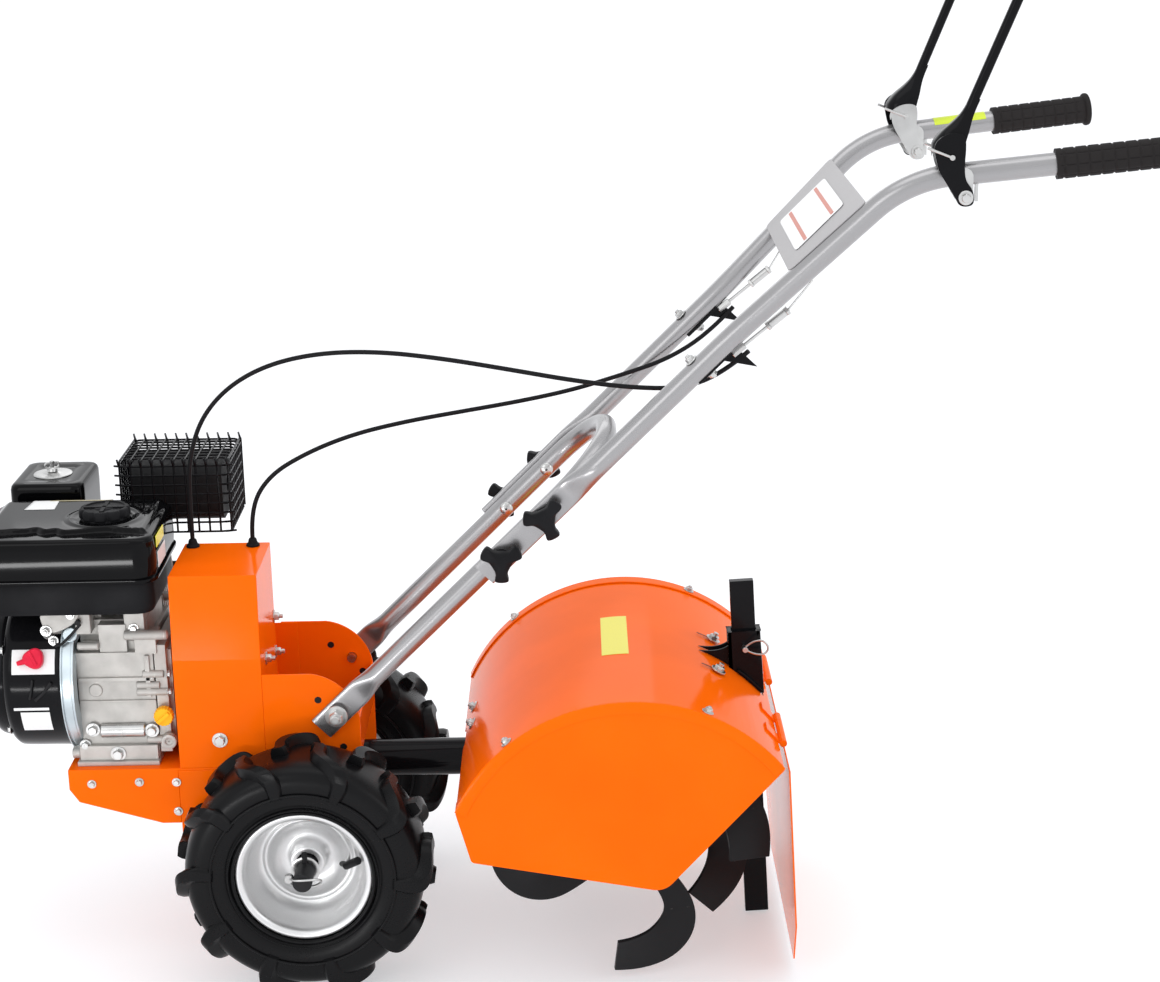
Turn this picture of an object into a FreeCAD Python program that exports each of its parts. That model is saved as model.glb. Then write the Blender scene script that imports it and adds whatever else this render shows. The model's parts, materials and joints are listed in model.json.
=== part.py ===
"""Walk-behind garden tiller with a rear tine rotor, built as separate sub-parts.

Units are millimetres.  +X points forward (engine end), +Y to the left-hand side
and +Z up.  While the pieces are made, X = 0 lies on the wheel axle, Y = 0 on the
centre plane and Z = 0 on the floor; the finished set is then moved along X so
that the origin lies under the middle of the whole machine.
"""

import math
import os

import FreeCAD
import Part

Vector = FreeCAD.Vector

# ----------------------------------------------------------------- dimensions
# Clearances used all over the machine
RUNNING_GAP = 0.5
BORE_GAP = 0.05
SEAT_GAP = 0.05
BOLT_GAP = 0.3

# Wheels
WHEEL_RADIUS = 167.5
TYRE_WIDTH = 112.0
TYRE_CENTRE = 169.0
TYRE_BEAD_RADIUS = 78.0
TYRE_SHOULDER = 34.0
TYRE_CROWN_EDGE = 14.0
TYRE_BULGE = 8.0
LUG_HEIGHT = 13.0
LUG_WIDTH = 17.0
LUG_SLANT = 40.0
LUG_START = 9.0
LUG_OVERLAP = 6.0
LUG_SUNK = 4.0
TYRE_FACETS = 40
LUG_SIDE = 2.0
LUG_ROOT_RADIUS = 116.0
LUGS_PER_SIDE = 10
RIM_FLANGE_RADIUS = 87.0
RIM_WIDTH = 82.0
RIM_WALL = 3.0
RIM_DISC_DEPTH = 34.0
RIM_DISH_RADIUS = 56.0
HUB_RADIUS = 22.0
HUB_LENGTH = 62.0
HUB_STANDOFF = 14.0
AXLE_RADIUS = 12.5
AXLE_REACH = 228.0
WHEEL_PIN_RADIUS = 3.5
WHEEL_PIN_REACH = 26.0

# Chassis of folded plate
PLATE = 3.0
CHASSIS_HALF_WIDTH = 102.0
BED_TOP = 274.0
BED_FRONT = 317.0
BED_DEPTH = 78.0
BED_NOSE = 28.0
BED_NOSE_CUT = 12.0
BED_KEEL_X = 197.0
PLATE_FRONT = 172.0
PLATE_REAR = -70.0
PLATE_TOP = 403.0
PLATE_BOTTOM = 176.0
PLATE_CROWN_X = -8.0
PLATE_CORNER = 62.0
PLATE_HEEL = 50.0
AXLE_HOLE_RADIUS = 18.5
CROSS_BOTTOM = 290.0
HANDLE_BOLT_X = -41.5
HANDLE_BOLT_Z = 350.0
HANDLE_BOLT_RADIUS = 6.0
HANDLE_BOLT_HEAD = 11.0
HANDLE_BOLT_HEAD_LENGTH = 7.0
HANDLE_BOLT_TAIL = 8.0

# Belt cover
COVER_FRONT = 169.0
COVER_REAR = 55.0
COVER_TOP = 537.0
COVER_BEND = 425.0
COVER_LEAN = 9.0
COVER_FAR_SIDE = -45.0
COVER_SHEET = 2.0
COVER_SHAFT_RADIUS = 30.0
GROMMET_SIDE = -30.0
GROMMET_X = (155.9, 75.8)
GROMMET_RADIUS = 8.5
GROMMET_TOP_RADIUS = 5.5
GROMMET_HEIGHT = 11.0

# Gearboxes and shafts
GEARBOX_LENGTH = 96.0
GEARBOX_WIDTH = 92.0
GEARBOX_SUMP = 40.0
GEARBOX_ROUND = 14.0
BEARER_LENGTH = 56.0
BEARER_HEIGHT = 10.0
TUBE_RADIUS = 25.0
TUBE_HEIGHT = 241.0
TUBE_FLANGE_RADIUS = 40.0
TUBE_FLANGE = 8.0
TUBE_NOTCH_GAP = 4.0
ROTOR_X = -418.0
ROTOR_Z = 195.0
ROTOR_RADIUS = 186.0
CASE_WIDTH = 36.0
CASE_RADIUS = 52.0
CASE_LENGTH = 158.0
CASE_CHAMFER = 32.0
CASE_HUMP = 12.0
ROTOR_SHAFT_RADIUS = 15.0
ROTOR_HUB_RADIUS = 24.0
ROTOR_SHAFT_END = 16.0
TINE_FLANGE_RADIUS = 58.0
TINE_FLANGE = 6.0
TINE_PLANES = (82.0, 166.0)
TINE_PHASES = (67.0, 15.0)
FAR_TINE_PHASES = (22.0, 52.0)
TINE_WIDTH = 40.0
TINE_THICKNESS = 6.0
TINE_ROOT = 32.0
TINE_STRAIGHT = 84.0
TINE_CURL_RADIUS = 104.0
TINE_CURL = 68.0
TINE_TIP = 34.0
TINE_TIP_ANGLES = (10.0, 29.0)
TINES_PER_FLANGE = 4

# Tine shield
SHIELD_X = -421.0
SHIELD_Z = 168.0
SHIELD_RADIUS = 242.0
SHIELD_HALF_WIDTH = 239.0
SHIELD_SHEET = 2.5
SHIELD_FRONT_ANGLE = 23.4
SHIELD_REAR_ANGLE = 142.2
SHIELD_RIM = 22.0
SHIELD_HEEL_X = -40.0
SHIELD_HEEL_Z = -16.0
SHIELD_HEEL_RADIUS = 28.0
SHIELD_TOE_RADIUS = 6.0
SHIELD_TOE_X = 204.0
SHIELD_TOE_Z = 29.0
BRACKET_SETBACK = 6.0
BRACKET_LENGTH = 64.0

# Rear flap and its hinges
FLAP_GROUND_GAP = 15.0
FLAP_CORNER = 60.0
FLAP_CORNER_RISE = 78.0
FLAP_LEAN = 2.8
FLAP_SHEET = 2.0
FLAP_HALF_WIDTH = 228.0
HINGE_RADIUS = 5.0
HINGE_STANDOFF = 1.0
HINGE_PIN_RADIUS = 2.0
HINGE_CENTRE = 107.0
HINGE_KNUCKLE = 44.0
HINGE_LEAF = 24.0
HINGE_LEAF_ANGLE = 6.0

# Depth stake
STAKE_ANGLE = 131.5
STAKE_REACH = 138.0
STAKE_WIDTH = 32.0
STAKE_THICKNESS = 12.0
STAKE_LEAN = 2.8
STAKE_GAP = 0.3
SOCKET_WALL = 6.0
SOCKET_RISE = 69.0
SOCKET_DROP = 27.0
SOCKET_PLATE = 4.0
SOCKET_PLATE_HALF_WIDTH = 24.0
SOCKET_PLATE_FORWARD = 14.0
SOCKET_PLATE_BACK = 30.0
SOCKET_PIN_DEPTH = 22.0
SOCKET_PIN_PROUD = 8.0
STAKE_HOLE_PITCH = 25.0
STAKE_HOLES_BELOW = 3
STAKE_HOLES_ABOVE = 2
STAKE_PIN_RADIUS = 4.0

# Handlebars
HANDLE_TUBE_RADIUS = 13.5
HANDLE_ANGLE = 44.3
LOWER_LEG_SIDE = 102.0
LOWER_LEG_START = 60.0
LOWER_LOOP_REACH = 498.0
LOWER_LOOP_RADIUS = 92.0
LOWER_FLAT = 8.0
LOWER_FLAT_HALF_HEIGHT = 16.0
LOWER_FLAT_REACH = (-30.0, 76.0)
KNOB_REACH = (308.0, 386.0)
KNOB_STUD_RADIUS = 4.0
KNOB_NECK_RADIUS = 12.0
KNOB_NECK = 8.0
KNOB_HEAD_RADIUS = 21.0
KNOB_HEAD = 16.0
KNOB_STUD_PROUD = 6.0
UPPER_FLAT = 10.0
UPPER_FLAT_HALF_HEIGHT = 17.0
UPPER_START = 266.0
UPPER_TUBE_SETBACK = 28.0
UPPER_FLAT_OVERLAP = 12.0
UPPER_KNEE_REACH = 722.0
UPPER_KNEE_STEP = 6.0
UPPER_KNEE_RADIUS = 400.0
UPPER_BEND_REACH = 996.0
UPPER_BEND_SIDE = 190.0
UPPER_BEND_RADIUS = 150.0
HANDLE_END_X = -1050.0
HANDLE_END_SIDE = 208.0
HANDLE_END_Z = 1075.0
GRIP_LENGTH = 132.0
GRIP_RADIUS = 18.0
GRIP_CAP = 4.0
CONSOLE_REACH = (822.0, 938.0)
CONSOLE_SHEET = 2.0
CONSOLE_OVERHANG = 10.0

# Clutch levers
LEVER_X = -820.0
LEVER_DROP = 25.0
LEVER_ROD_RADIUS = 6.0
LEVER_LENGTH = 290.0
LEVER_ANGLE = 20.0
LEVER_EAR = 3.0
LEVER_EAR_GAP = 5.0
LEVER_EAR_HALF_WIDTH = 12.0
LEVER_EAR_HEIGHT = 84.0
LEVER_BRIDGE = 12.0
LEVER_BRIDGE_FORWARD = 8.0
LEVER_FOOT = 76.0
LEVER_LUG = 18.0
LEVER_LUG_THICKNESS = 8.0
LEVER_PIN_RADIUS = 4.0
LEVER_PIN_PROUD = 3.0

# Control cables and their stops under the upper tubes
CABLE_RADIUS = 3.0
CABLE_STOP_REACH = 715.0
CABLE_STOP_SIDE = 132.0
CABLE_STOP_LIFT = -28.0
CABLE_STOP_RADIUS = 5.0
CABLE_STOP_LENGTH = 75.0
STOP_STRAP = 3.0
STOP_STRAP_WIDTH = 20.0
STOP_STRAP_REACH = (640.0, 738.0)
STOP_EAR_SETBACK = 8.0
STOP_EAR_DROP = 9.0
DRIVE_CABLE = (
    (155.9, -30.0, 604.0),
    (151.0, -17.0, 660.0),
    (131.0, -4.0, 718.0),
    (92.0, 8.0, 764.0),
    (36.0, 22.0, 797.0),
    (-34.0, 38.0, 815.0),
    (-112.0, 54.0, 819.0),
    (-194.0, 70.0, 812.0),
    (-276.0, 84.0, 800.0),
    (-356.0, 95.0, 787.0),
    (-430.0, 102.0, 778.0),
    (-495.0, 106.0, 777.0),
    (-544.0, 121.0, 801.0),
)
ROTOR_CABLE = (
    (75.8, -30.0, 590.0),
    (49.0, -31.0, 634.0),
    (-2.0, -36.0, 663.0),
    (-62.0, -47.0, 684.0),
    (-132.0, -60.0, 697.0),
    (-206.0, -73.0, 706.0),
    (-282.0, -86.0, 715.0),
    (-354.0, -96.0, 727.0),
    (-420.0, -102.0, 745.0),
    (-484.0, -106.0, 765.0),
    (-540.0, -121.0, 797.0),
)

# Engine
CRANK_HEIGHT = 106.0
CRANKCASE_FRONT = 304.0
CRANKCASE_REAR = 199.0
CRANKCASE_HALF_WIDTH = 78.0
CRANKCASE_HEIGHT = 168.0
CRANKCASE_ROUND = 8.0
FOOT_HEIGHT = 8.0
FOOT_OVERHANG = 5.0
NECK_INSET = 8.0
NECK_SIDES = (-50.0, 62.0)
NECK_HEIGHT = 37.0
CASE_RIB = 3.0
CASE_RIB_HEIGHTS = (92.0, 128.0)
CASE_COVER = 22.0
CASE_COVER_RAISE = 14.0
CASE_COVER_DROP = 2.0
CASE_BOSS_RADIUS = 7.0
CASE_BOSS_LENGTH = 30.0
CASE_BOSS_HEIGHTS = (107.0, 133.0, 158.0)
FILLER_RADIUS = 11.0
FILLER_LENGTH = 16.0
FILLER_HEIGHT = 70.0
DRAIN_RADIUS = 9.0
DRAIN_HEIGHT = 33.0
SHROUD_PLATE = 5.0
SHROUD_WING_SIDE = -168.0
SHROUD_WING_HEIGHTS = (112.0, 214.0)
FAN_DEPTH = 85.0
FAN_STEP = 3.0
FAN_BEVEL = 10.0
RECOIL_FRONT = 438.0
RECOIL_RADIUS = 105.5
STARTER_RADIUS = 88.0
STARTER_FACE_RADIUS = 70.0
STARTER_HUB_RADIUS = 42.0
STARTER_STEP = 12.0
TANK_FRONT = 418.0
TANK_REAR = 182.0
TANK_SIDE = 112.0
TANK_FAR_SIDE = -66.0
TANK_TOP = 598.0
TANK_BODY = 60.0
TANK_ROUND = 18.0
TANK_SKIRT = 48.0
TANK_SKIRT_INSET = 7.0
TANK_STAND_SIDES = (-40.0, 52.0)
FUEL_CAP_X = 249.0
FUEL_CAP_SIDE = 52.0
FUEL_CAP_RADIUS = 34.0
FUEL_CAP_HEIGHT = 18.0
CYLINDER_RISE = 25.0
CYLINDER_START = 60.0
CYLINDER_CORE = 42.0
FIN_SIZE = 96.0
FIN_THICKNESS = 3.0
FIN_PITCH = 9.0
FIN_FIRST = 84.0
FINS = 9
HEAD_START = 162.0
HEAD_SIZE = 88.0
HEAD_LENGTH = 28.0
VALVE_COVER_SIZE = 62.0
VALVE_COVER_LENGTH = 14.0
INTAKE_SIDE = -159.0
INTAKE_HEIGHT = 180.0
INTAKE_RADIUS = 12.0
CARBURETTOR_LENGTH = 40.0
CARBURETTOR_WIDTH = 46.0
CARBURETTOR_DROP = 30.0
AIR_CLEANER_REAR = 303.0
AIR_CLEANER_FRONT = 408.0
AIR_CLEANER_SIDE = -92.0
AIR_CLEANER_FAR_SIDE = -202.0
AIR_CLEANER_TOP = 612.0
AIR_CLEANER_BODY = 74.0
AIR_CLEANER_BASE = 33.0
AIR_CLEANER_INSET = 4.0
AIR_CLEANER_BEVEL = 8.0
GUARD_REAR = 112.0
GUARD_FRONT = 262.0
GUARD_SIDE = -94.0
GUARD_FAR_SIDE = -222.0
GUARD_TOP = 640.0
GUARD_HEIGHT = 104.0
GUARD_WIRE = 2.6
GUARD_COLUMNS = 11
GUARD_ROWS = 8
GUARD_FILES = 10
MUFFLER_GAP = 13.0
MUFFLER_ROUND = 14.0
MUFFLER_STAY = 17.0
EXHAUST_X = 236.0
EXHAUST_SIDE = -140.0
EXHAUST_RADIUS = 12.0
EXHAUST_BASE = 210.0


# --------------------------------------------------------------------- shapes
def box(x0, x1, y0, y1, z0, z1):
    """Block between two corners."""
    return Part.makeBox(x1 - x0, y1 - y0, z1 - z0, Vector(x0, y0, z0))


def rod(start, end, radius):
    """Round bar between two points."""
    axis = end - start
    return Part.makeCylinder(radius, axis.Length, start, axis)


def taper(start, end, radius0, radius1):
    """Cone between two points."""
    axis = end - start
    return Part.makeCone(radius0, radius1, axis.Length, start, axis)


def outline(points):
    """Flat face with straight edges through the points."""
    return Part.Face(Part.makePolygon(points + points[:1]))


def prism_y(points, y0, y1):
    """Plate whose outline (x, z) is drawn in the vertical fore-and-aft plane."""
    return outline([Vector(x, y0, z) for x, z in points]).extrude(Vector(0, y1 - y0, 0))


def prism_x(points, x0, x1):
    """Plate whose outline (y, z) is drawn square to the machine's length."""
    return outline([Vector(x0, y, z) for y, z in points]).extrude(Vector(x1 - x0, 0, 0))


def turned_y(points, x, z):
    """Solid of revolution about a crosswise axis; points are (y, radius)."""
    face = outline([Vector(x, y, z + radius) for y, radius in points])
    return face.revolve(Vector(x, 0, z), Vector(0, 1, 0), 360)


def turned_x(points, y, z):
    """Solid of revolution about a lengthwise axis; points are (x, radius)."""
    face = outline([Vector(x, y, z + radius) for x, radius in points])
    return face.revolve(Vector(0, y, z), Vector(1, 0, 0), 360)


def mirrored(shape):
    """The same piece on the other side of the centre plane."""
    return shape.mirror(Vector(0, 0, 0), Vector(0, 1, 0))


def fused(shapes):
    """One solid out of overlapping or touching ones."""
    return shapes[0].multiFuse(shapes[1:]).removeSplitter()


def arc_point(centre, radius, degrees, y=0.0):
    """Point about a crosswise axis, with the angle counted from +X towards +Z."""
    angle = math.radians(degrees)
    return Vector(centre.x + radius * math.cos(angle), y, centre.z + radius * math.sin(angle))


def arc_sheet(centre, radius, wall, y0, y1, a0, a1):
    """Curved sheet: a sector of a tube about a crosswise axis."""
    mid = (a0 + a1) / 2
    outer = [arc_point(centre, radius, angle, y0) for angle in (a0, mid, a1)]
    inner = [arc_point(centre, radius - wall, angle, y0) for angle in (a1, mid, a0)]
    edges = [
        Part.Arc(*outer).toShape(),
        Part.makeLine(outer[2], inner[0]),
        Part.Arc(*inner).toShape(),
        Part.makeLine(inner[2], outer[0]),
    ]
    return Part.Face(Part.Wire(edges)).extrude(Vector(0, y1 - y0, 0))


def round_path(points, radii):
    """Wire of straight runs joined by tangent arcs at the inner points."""
    edges = []
    start = points[0]
    for index in range(1, len(points) - 1):
        corner = points[index]
        before = (points[index - 1] - corner).normalize()
        after = (points[index + 1] - corner).normalize()
        half = before.getAngle(after) / 2
        reach = radii[index - 1] / math.tan(half)
        first = corner + before * reach
        last = corner + after * reach
        inward = (before + after).normalize()
        middle = corner + inward * (radii[index - 1] / math.sin(half) - radii[index - 1])
        edges.append(Part.makeLine(start, first))
        edges.append(Part.Arc(first, middle, last).toShape())
        start = last
    edges.append(Part.makeLine(start, points[-1]))
    return Part.Wire(edges)


def swept(wire, radius):
    """Round bar that follows a wire."""
    start = wire.Edges[0].Vertexes[0].Point
    axis = wire.Edges[0].tangentAt(wire.Edges[0].FirstParameter)
    ring = Part.Wire(Part.makeCircle(radius, start, axis))
    return wire.makePipeShell([ring], True, False)


# --------------------------------------------------------------- running gear
def quad(a, b, c, d):
    """One flat face through four points, or two triangles where they don't lie flat."""
    if abs((b - a).cross(d - a).dot(c - a)) < 1e-6:
        return [outline([a, b, c, d])]
    return [outline([a, b, c]), outline([a, c, d])]


def faceted(rings, closed):
    """Solid with flat faces between neighbouring rings, each a loop of as many points."""
    spans = list(zip(rings, rings[1:]))
    faces = []
    if closed:
        spans.append((rings[-1], rings[0]))
    else:
        faces += [outline(rings[0]), outline(rings[-1])]
    for first, second in spans:
        for index in range(len(first)):
            after = (index + 1) % len(first)
            faces += quad(first[index], first[after], second[after], second[index])
    shell = Part.makeShell(faces)
    shell.sewShape()
    solid = Part.makeSolid(shell)
    if solid.Volume < 0:
        solid.reverse()
    return solid


def wheel_point(degrees, side, radius):
    """Point on the left wheel at a distance from the tyre's mid plane and from the axle."""
    axle = Vector(0, 0, WHEEL_RADIUS)
    return arc_point(axle, radius, degrees, TYRE_CENTRE + side)


def make_tyre():
    """Tyre with cleats that run from the crown to each shoulder in a chevron."""
    crown = WHEEL_RADIUS - LUG_HEIGHT
    shoulder = crown - TYRE_SHOULDER
    half = TYRE_WIDTH / 2 - LUG_SIDE
    seat = RIM_WIDTH / 2 - RIM_WALL
    over_flats = 1 / math.cos(math.pi / TYRE_FACETS)
    bead = (RIM_FLANGE_RADIUS + SEAT_GAP) * over_flats
    right = [
        (seat, (TYRE_BEAD_RADIUS + SEAT_GAP) * over_flats),
        (seat, bead),
        (seat + TYRE_BULGE, bead + RIM_WALL),
        (half, shoulder),
        (half, shoulder + TYRE_BULGE),
        (half - TYRE_CROWN_EDGE, crown),
    ]
    section = right + [(-side, radius) for side, radius in reversed(right)]
    step = 360 / TYRE_FACETS
    rings = [
        [wheel_point(index * step, side, radius) for side, radius in section]
        for index in range(TYRE_FACETS)
    ]
    tyre = [faceted(rings, True)]

    half = TYRE_WIDTH / 2
    shoulder = WHEEL_RADIUS - TYRE_SHOULDER
    root = LUG_ROOT_RADIUS
    stations = [
        (-LUG_OVERLAP, WHEEL_RADIUS, -LUG_OVERLAP, crown - LUG_SUNK),
        (half - TYRE_CROWN_EDGE, WHEEL_RADIUS, half - TYRE_CROWN_EDGE - LUG_SUNK, crown - LUG_SUNK),
        (half, shoulder + TYRE_BULGE, half - 2 * LUG_SUNK, shoulder),
        (half, shoulder, half - 2 * LUG_SUNK, shoulder - LUG_SUNK),
        (half - LUG_SUNK, root, half - 3 * LUG_SUNK, root),
    ]
    spread = math.degrees(LUG_WIDTH / 2 / WHEEL_RADIUS)
    slant = math.degrees(LUG_SLANT / half / WHEEL_RADIUS)
    pitch = 360 / LUGS_PER_SIDE
    for index in range(2 * LUGS_PER_SIDE):
        sign = 1 if index % 2 else -1
        rings = []
        for side, radius, inner_side, inner_radius in stations:
            middle = LUG_START + index * pitch / 2 + slant * side
            rings.append(
                [
                    wheel_point(middle - spread, sign * side, radius),
                    wheel_point(middle + spread, sign * side, radius),
                    wheel_point(middle + spread, sign * inner_side, inner_radius),
                    wheel_point(middle - spread, sign * inner_side, inner_radius),
                ]
            )
        tyre.append(faceted(rings, False))
    return fused(tyre)


def make_wheels():
    """Tyre, rim, and the half axle with its hub pin that turns with each wheel."""
    centre = Vector(0, 0, WHEEL_RADIUS)
    seat_in = TYRE_CENTRE - RIM_WIDTH / 2 + RIM_WALL
    seat_out = TYRE_CENTRE + RIM_WIDTH / 2 - RIM_WALL
    flange_in = TYRE_CENTRE - RIM_WIDTH / 2
    flange_out = TYRE_CENTRE + RIM_WIDTH / 2
    disc = flange_out - RIM_DISC_DEPTH
    hub_out = disc + HUB_STANDOFF
    hub_in = hub_out - HUB_LENGTH
    bore = AXLE_RADIUS + BORE_GAP
    barrel = TYRE_BEAD_RADIUS - RIM_WALL
    rim = turned_y(
        [
            (flange_in, barrel),
            (flange_in, RIM_FLANGE_RADIUS),
            (seat_in, RIM_FLANGE_RADIUS),
            (seat_in, TYRE_BEAD_RADIUS),
            (seat_out, TYRE_BEAD_RADIUS),
            (seat_out, RIM_FLANGE_RADIUS),
            (flange_out, RIM_FLANGE_RADIUS),
            (flange_out, barrel),
            (disc + RIM_WALL, RIM_DISH_RADIUS),
            (disc + RIM_WALL, HUB_RADIUS),
            (hub_out, HUB_RADIUS),
            (hub_out, bore),
            (hub_in, bore),
            (hub_in, HUB_RADIUS),
            (disc, HUB_RADIUS),
            (disc, RIM_DISH_RADIUS),
            (disc + RIM_DISC_DEPTH / 2, barrel - RIM_WALL),
            (disc + RIM_DISC_DEPTH / 2 - RIM_WALL, barrel),
        ],
        centre.x,
        centre.z,
    )
    axle_in = Vector(centre.x, GEARBOX_WIDTH / 2 + RUNNING_GAP, centre.z)
    axle_out = Vector(centre.x, AXLE_REACH, centre.z)
    pin = Vector(centre.x, hub_out + SEAT_GAP + WHEEL_PIN_RADIUS, centre.z)
    across = Vector(0, 0, WHEEL_PIN_REACH)
    axle = fused(
        [rod(axle_in, axle_out, AXLE_RADIUS), rod(pin - across, pin + across, WHEEL_PIN_RADIUS)]
    )
    tyre = make_tyre()
    pieces = {}
    for side, place in (("left", Part.Shape.copy), ("right", mirrored)):
        pieces["tyre_" + side] = place(tyre)
        pieces["rim_" + side] = place(rim)
        pieces["half_axle_" + side] = place(axle)
    return pieces


# -------------------------------------------------------------------- chassis
def make_chassis():
    """Engine bed, side plates and rear cross plate of folded sheet steel."""
    side = CHASSIS_HALF_WIDTH
    inner = side - PLATE
    under = BED_TOP - PLATE
    keel = BED_TOP - BED_DEPTH
    top = box(COVER_REAR, BED_FRONT, -side, side, under, BED_TOP)
    cheek = [
        (PLATE_FRONT, under),
        (BED_FRONT, under),
        (BED_FRONT, BED_TOP - BED_NOSE),
        (BED_FRONT - BED_NOSE_CUT, BED_TOP - BED_NOSE - 1.5 * BED_NOSE_CUT),
        (BED_KEEL_X, keel),
        (PLATE_FRONT, keel),
    ]
    cheeks = [prism_y(cheek, inner, side), prism_y(cheek, -side, -inner)]
    lip = box(BED_FRONT - PLATE, BED_FRONT, -inner, inner, BED_TOP - BED_NOSE, under)
    bed = fused([top, lip] + cheeks)

    crown = Vector(PLATE_CROWN_X, inner, PLATE_TOP)
    shoulder = Vector(PLATE_REAR, inner, PLATE_TOP - PLATE_CORNER)
    bend = (crown + shoulder) / 2 + Vector(-1, 0, 1) * (PLATE_CORNER / 6)
    corners = [
        shoulder,
        Vector(PLATE_REAR, inner, PLATE_BOTTOM + PLATE_HEEL),
        Vector(PLATE_REAR + PLATE_HEEL / 2, inner, PLATE_BOTTOM),
        Vector(PLATE_FRONT, inner, PLATE_BOTTOM),
        Vector(PLATE_FRONT, inner, under),
        Vector(COVER_REAR, inner, under),
        Vector(COVER_REAR, inner, PLATE_TOP),
        crown,
    ]
    edges = [Part.Arc(crown, bend, shoulder).toShape(), Part.makePolygon(corners)]
    plate = Part.Face(Part.Wire(edges)).extrude(Vector(0, PLATE, 0))
    far = Vector(0, 2 * side, 0)
    bolt = Vector(HANDLE_BOLT_X, 0, HANDLE_BOLT_Z)
    axle = Vector(0, 0, WHEEL_RADIUS)
    plate = plate.cut(rod(bolt, bolt + far, HANDLE_BOLT_RADIUS + BOLT_GAP))
    plate = plate.cut(rod(axle, axle + far, AXLE_HOLE_RADIUS))
    cross = box(PLATE_REAR, PLATE_REAR + PLATE, -inner, inner, CROSS_BOTTOM, shoulder.z)
    return {
        "engine_bed": bed,
        "side_plate_left": plate,
        "side_plate_right": mirrored(plate),
        "cross_plate": cross,
    }


def make_belt_cover():
    """Folded box over the belt drive behind the engine, with two cable grommets."""

    def section(wall, bottom):
        """Outline of the cover, or of the room in it, seen from behind."""
        return [
            (COVER_FAR_SIDE + wall, bottom),
            (CHASSIS_HALF_WIDTH - wall, bottom),
            (CHASSIS_HALF_WIDTH - wall, COVER_BEND),
            (CHASSIS_HALF_WIDTH - COVER_LEAN - wall, COVER_TOP - wall),
            (COVER_FAR_SIDE + wall, COVER_TOP - wall),
        ]

    sheet = COVER_SHEET
    solid = prism_x(section(0, BED_TOP), COVER_REAR, COVER_FRONT)
    room = prism_x(section(sheet, BED_TOP - sheet), COVER_REAR + sheet, COVER_FRONT - sheet)
    crank = Vector(COVER_FRONT, 0, BED_TOP + CRANK_HEIGHT)
    reach = Vector(2 * sheet, 0, 0)
    cover = solid.cut(room).cut(rod(crank - reach, crank + reach, COVER_SHAFT_RADIUS))
    grommets = []
    for x in GROMMET_X:
        foot = Vector(x, GROMMET_SIDE, COVER_TOP)
        top = foot + Vector(0, 0, GROMMET_HEIGHT)
        grommets.append(taper(foot, top, GROMMET_RADIUS, GROMMET_TOP_RADIUS))
    return {"belt_cover": cover, "cable_grommets": Part.makeCompound(grommets)}


# ----------------------------------------------------------- drive and rotor
def case_front():
    """Front face of the rotor gearbox, where the transmission tube is bolted on."""
    return ROTOR_X + CASE_LENGTH


def case_outline():
    """Upper corner of the rotor gearbox at the front, and its hump over the shaft."""
    front = (case_front(), TUBE_HEIGHT + TUBE_FLANGE_RADIUS)
    hump = (ROTOR_X, ROTOR_Z + CASE_RADIUS + CASE_HUMP)
    return front, hump


def make_drive():
    """Wheel gearbox, transmission tube and the slim rotor gearbox."""
    half = GEARBOX_WIDTH / 2
    front = GEARBOX_LENGTH / 2
    top = TUBE_HEIGHT + TUBE_FLANGE_RADIUS
    housing = box(-front, front, -half, half, WHEEL_RADIUS - GEARBOX_SUMP, top)
    edges = [e for e in housing.Edges if abs(e.tangentAt(0).y) > 0.9]
    housing = housing.makeFillet(GEARBOX_ROUND, edges)
    reach = CHASSIS_HALF_WIDTH - PLATE
    half_bearer = BEARER_LENGTH / 2
    bearer = box(-half_bearer, half_bearer, -reach, reach, top - BEARER_HEIGHT, top)

    tube_start = Vector(-front, 0, TUBE_HEIGHT)
    tube_end = Vector(case_front(), 0, TUBE_HEIGHT)
    flange = Vector(TUBE_FLANGE, 0, 0)
    tube = fused(
        [
            rod(tube_start, tube_end, TUBE_RADIUS),
            rod(tube_start, tube_start - flange, TUBE_FLANGE_RADIUS),
            rod(tube_end, tube_end + flange, TUBE_FLANGE_RADIUS),
        ]
    )

    half_case = CASE_WIDTH / 2
    corner, hump = case_outline()
    case = prism_y(
        [
            (case_front(), TUBE_HEIGHT - TUBE_FLANGE_RADIUS),
            corner,
            hump,
            (ROTOR_X - CASE_RADIUS, ROTOR_Z + CASE_RADIUS - CASE_CHAMFER),
            (ROTOR_X - CASE_RADIUS, ROTOR_Z - CASE_RADIUS + CASE_CHAMFER),
            (ROTOR_X - CASE_RADIUS + CASE_CHAMFER, ROTOR_Z - CASE_RADIUS),
            (ROTOR_X + CASE_RADIUS - CASE_CHAMFER, ROTOR_Z - CASE_RADIUS),
        ],
        -half_case,
        half_case,
    )
    shaft = Vector(ROTOR_X, 0, ROTOR_Z)
    far = Vector(0, CASE_WIDTH, 0)
    case = case.cut(rod(shaft - far, shaft + far, ROTOR_SHAFT_RADIUS + BORE_GAP))
    return {
        "wheel_gearbox": fused([housing, bearer]),
        "transmission_tube": tube,
        "rotor_gearbox": case,
    }


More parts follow.
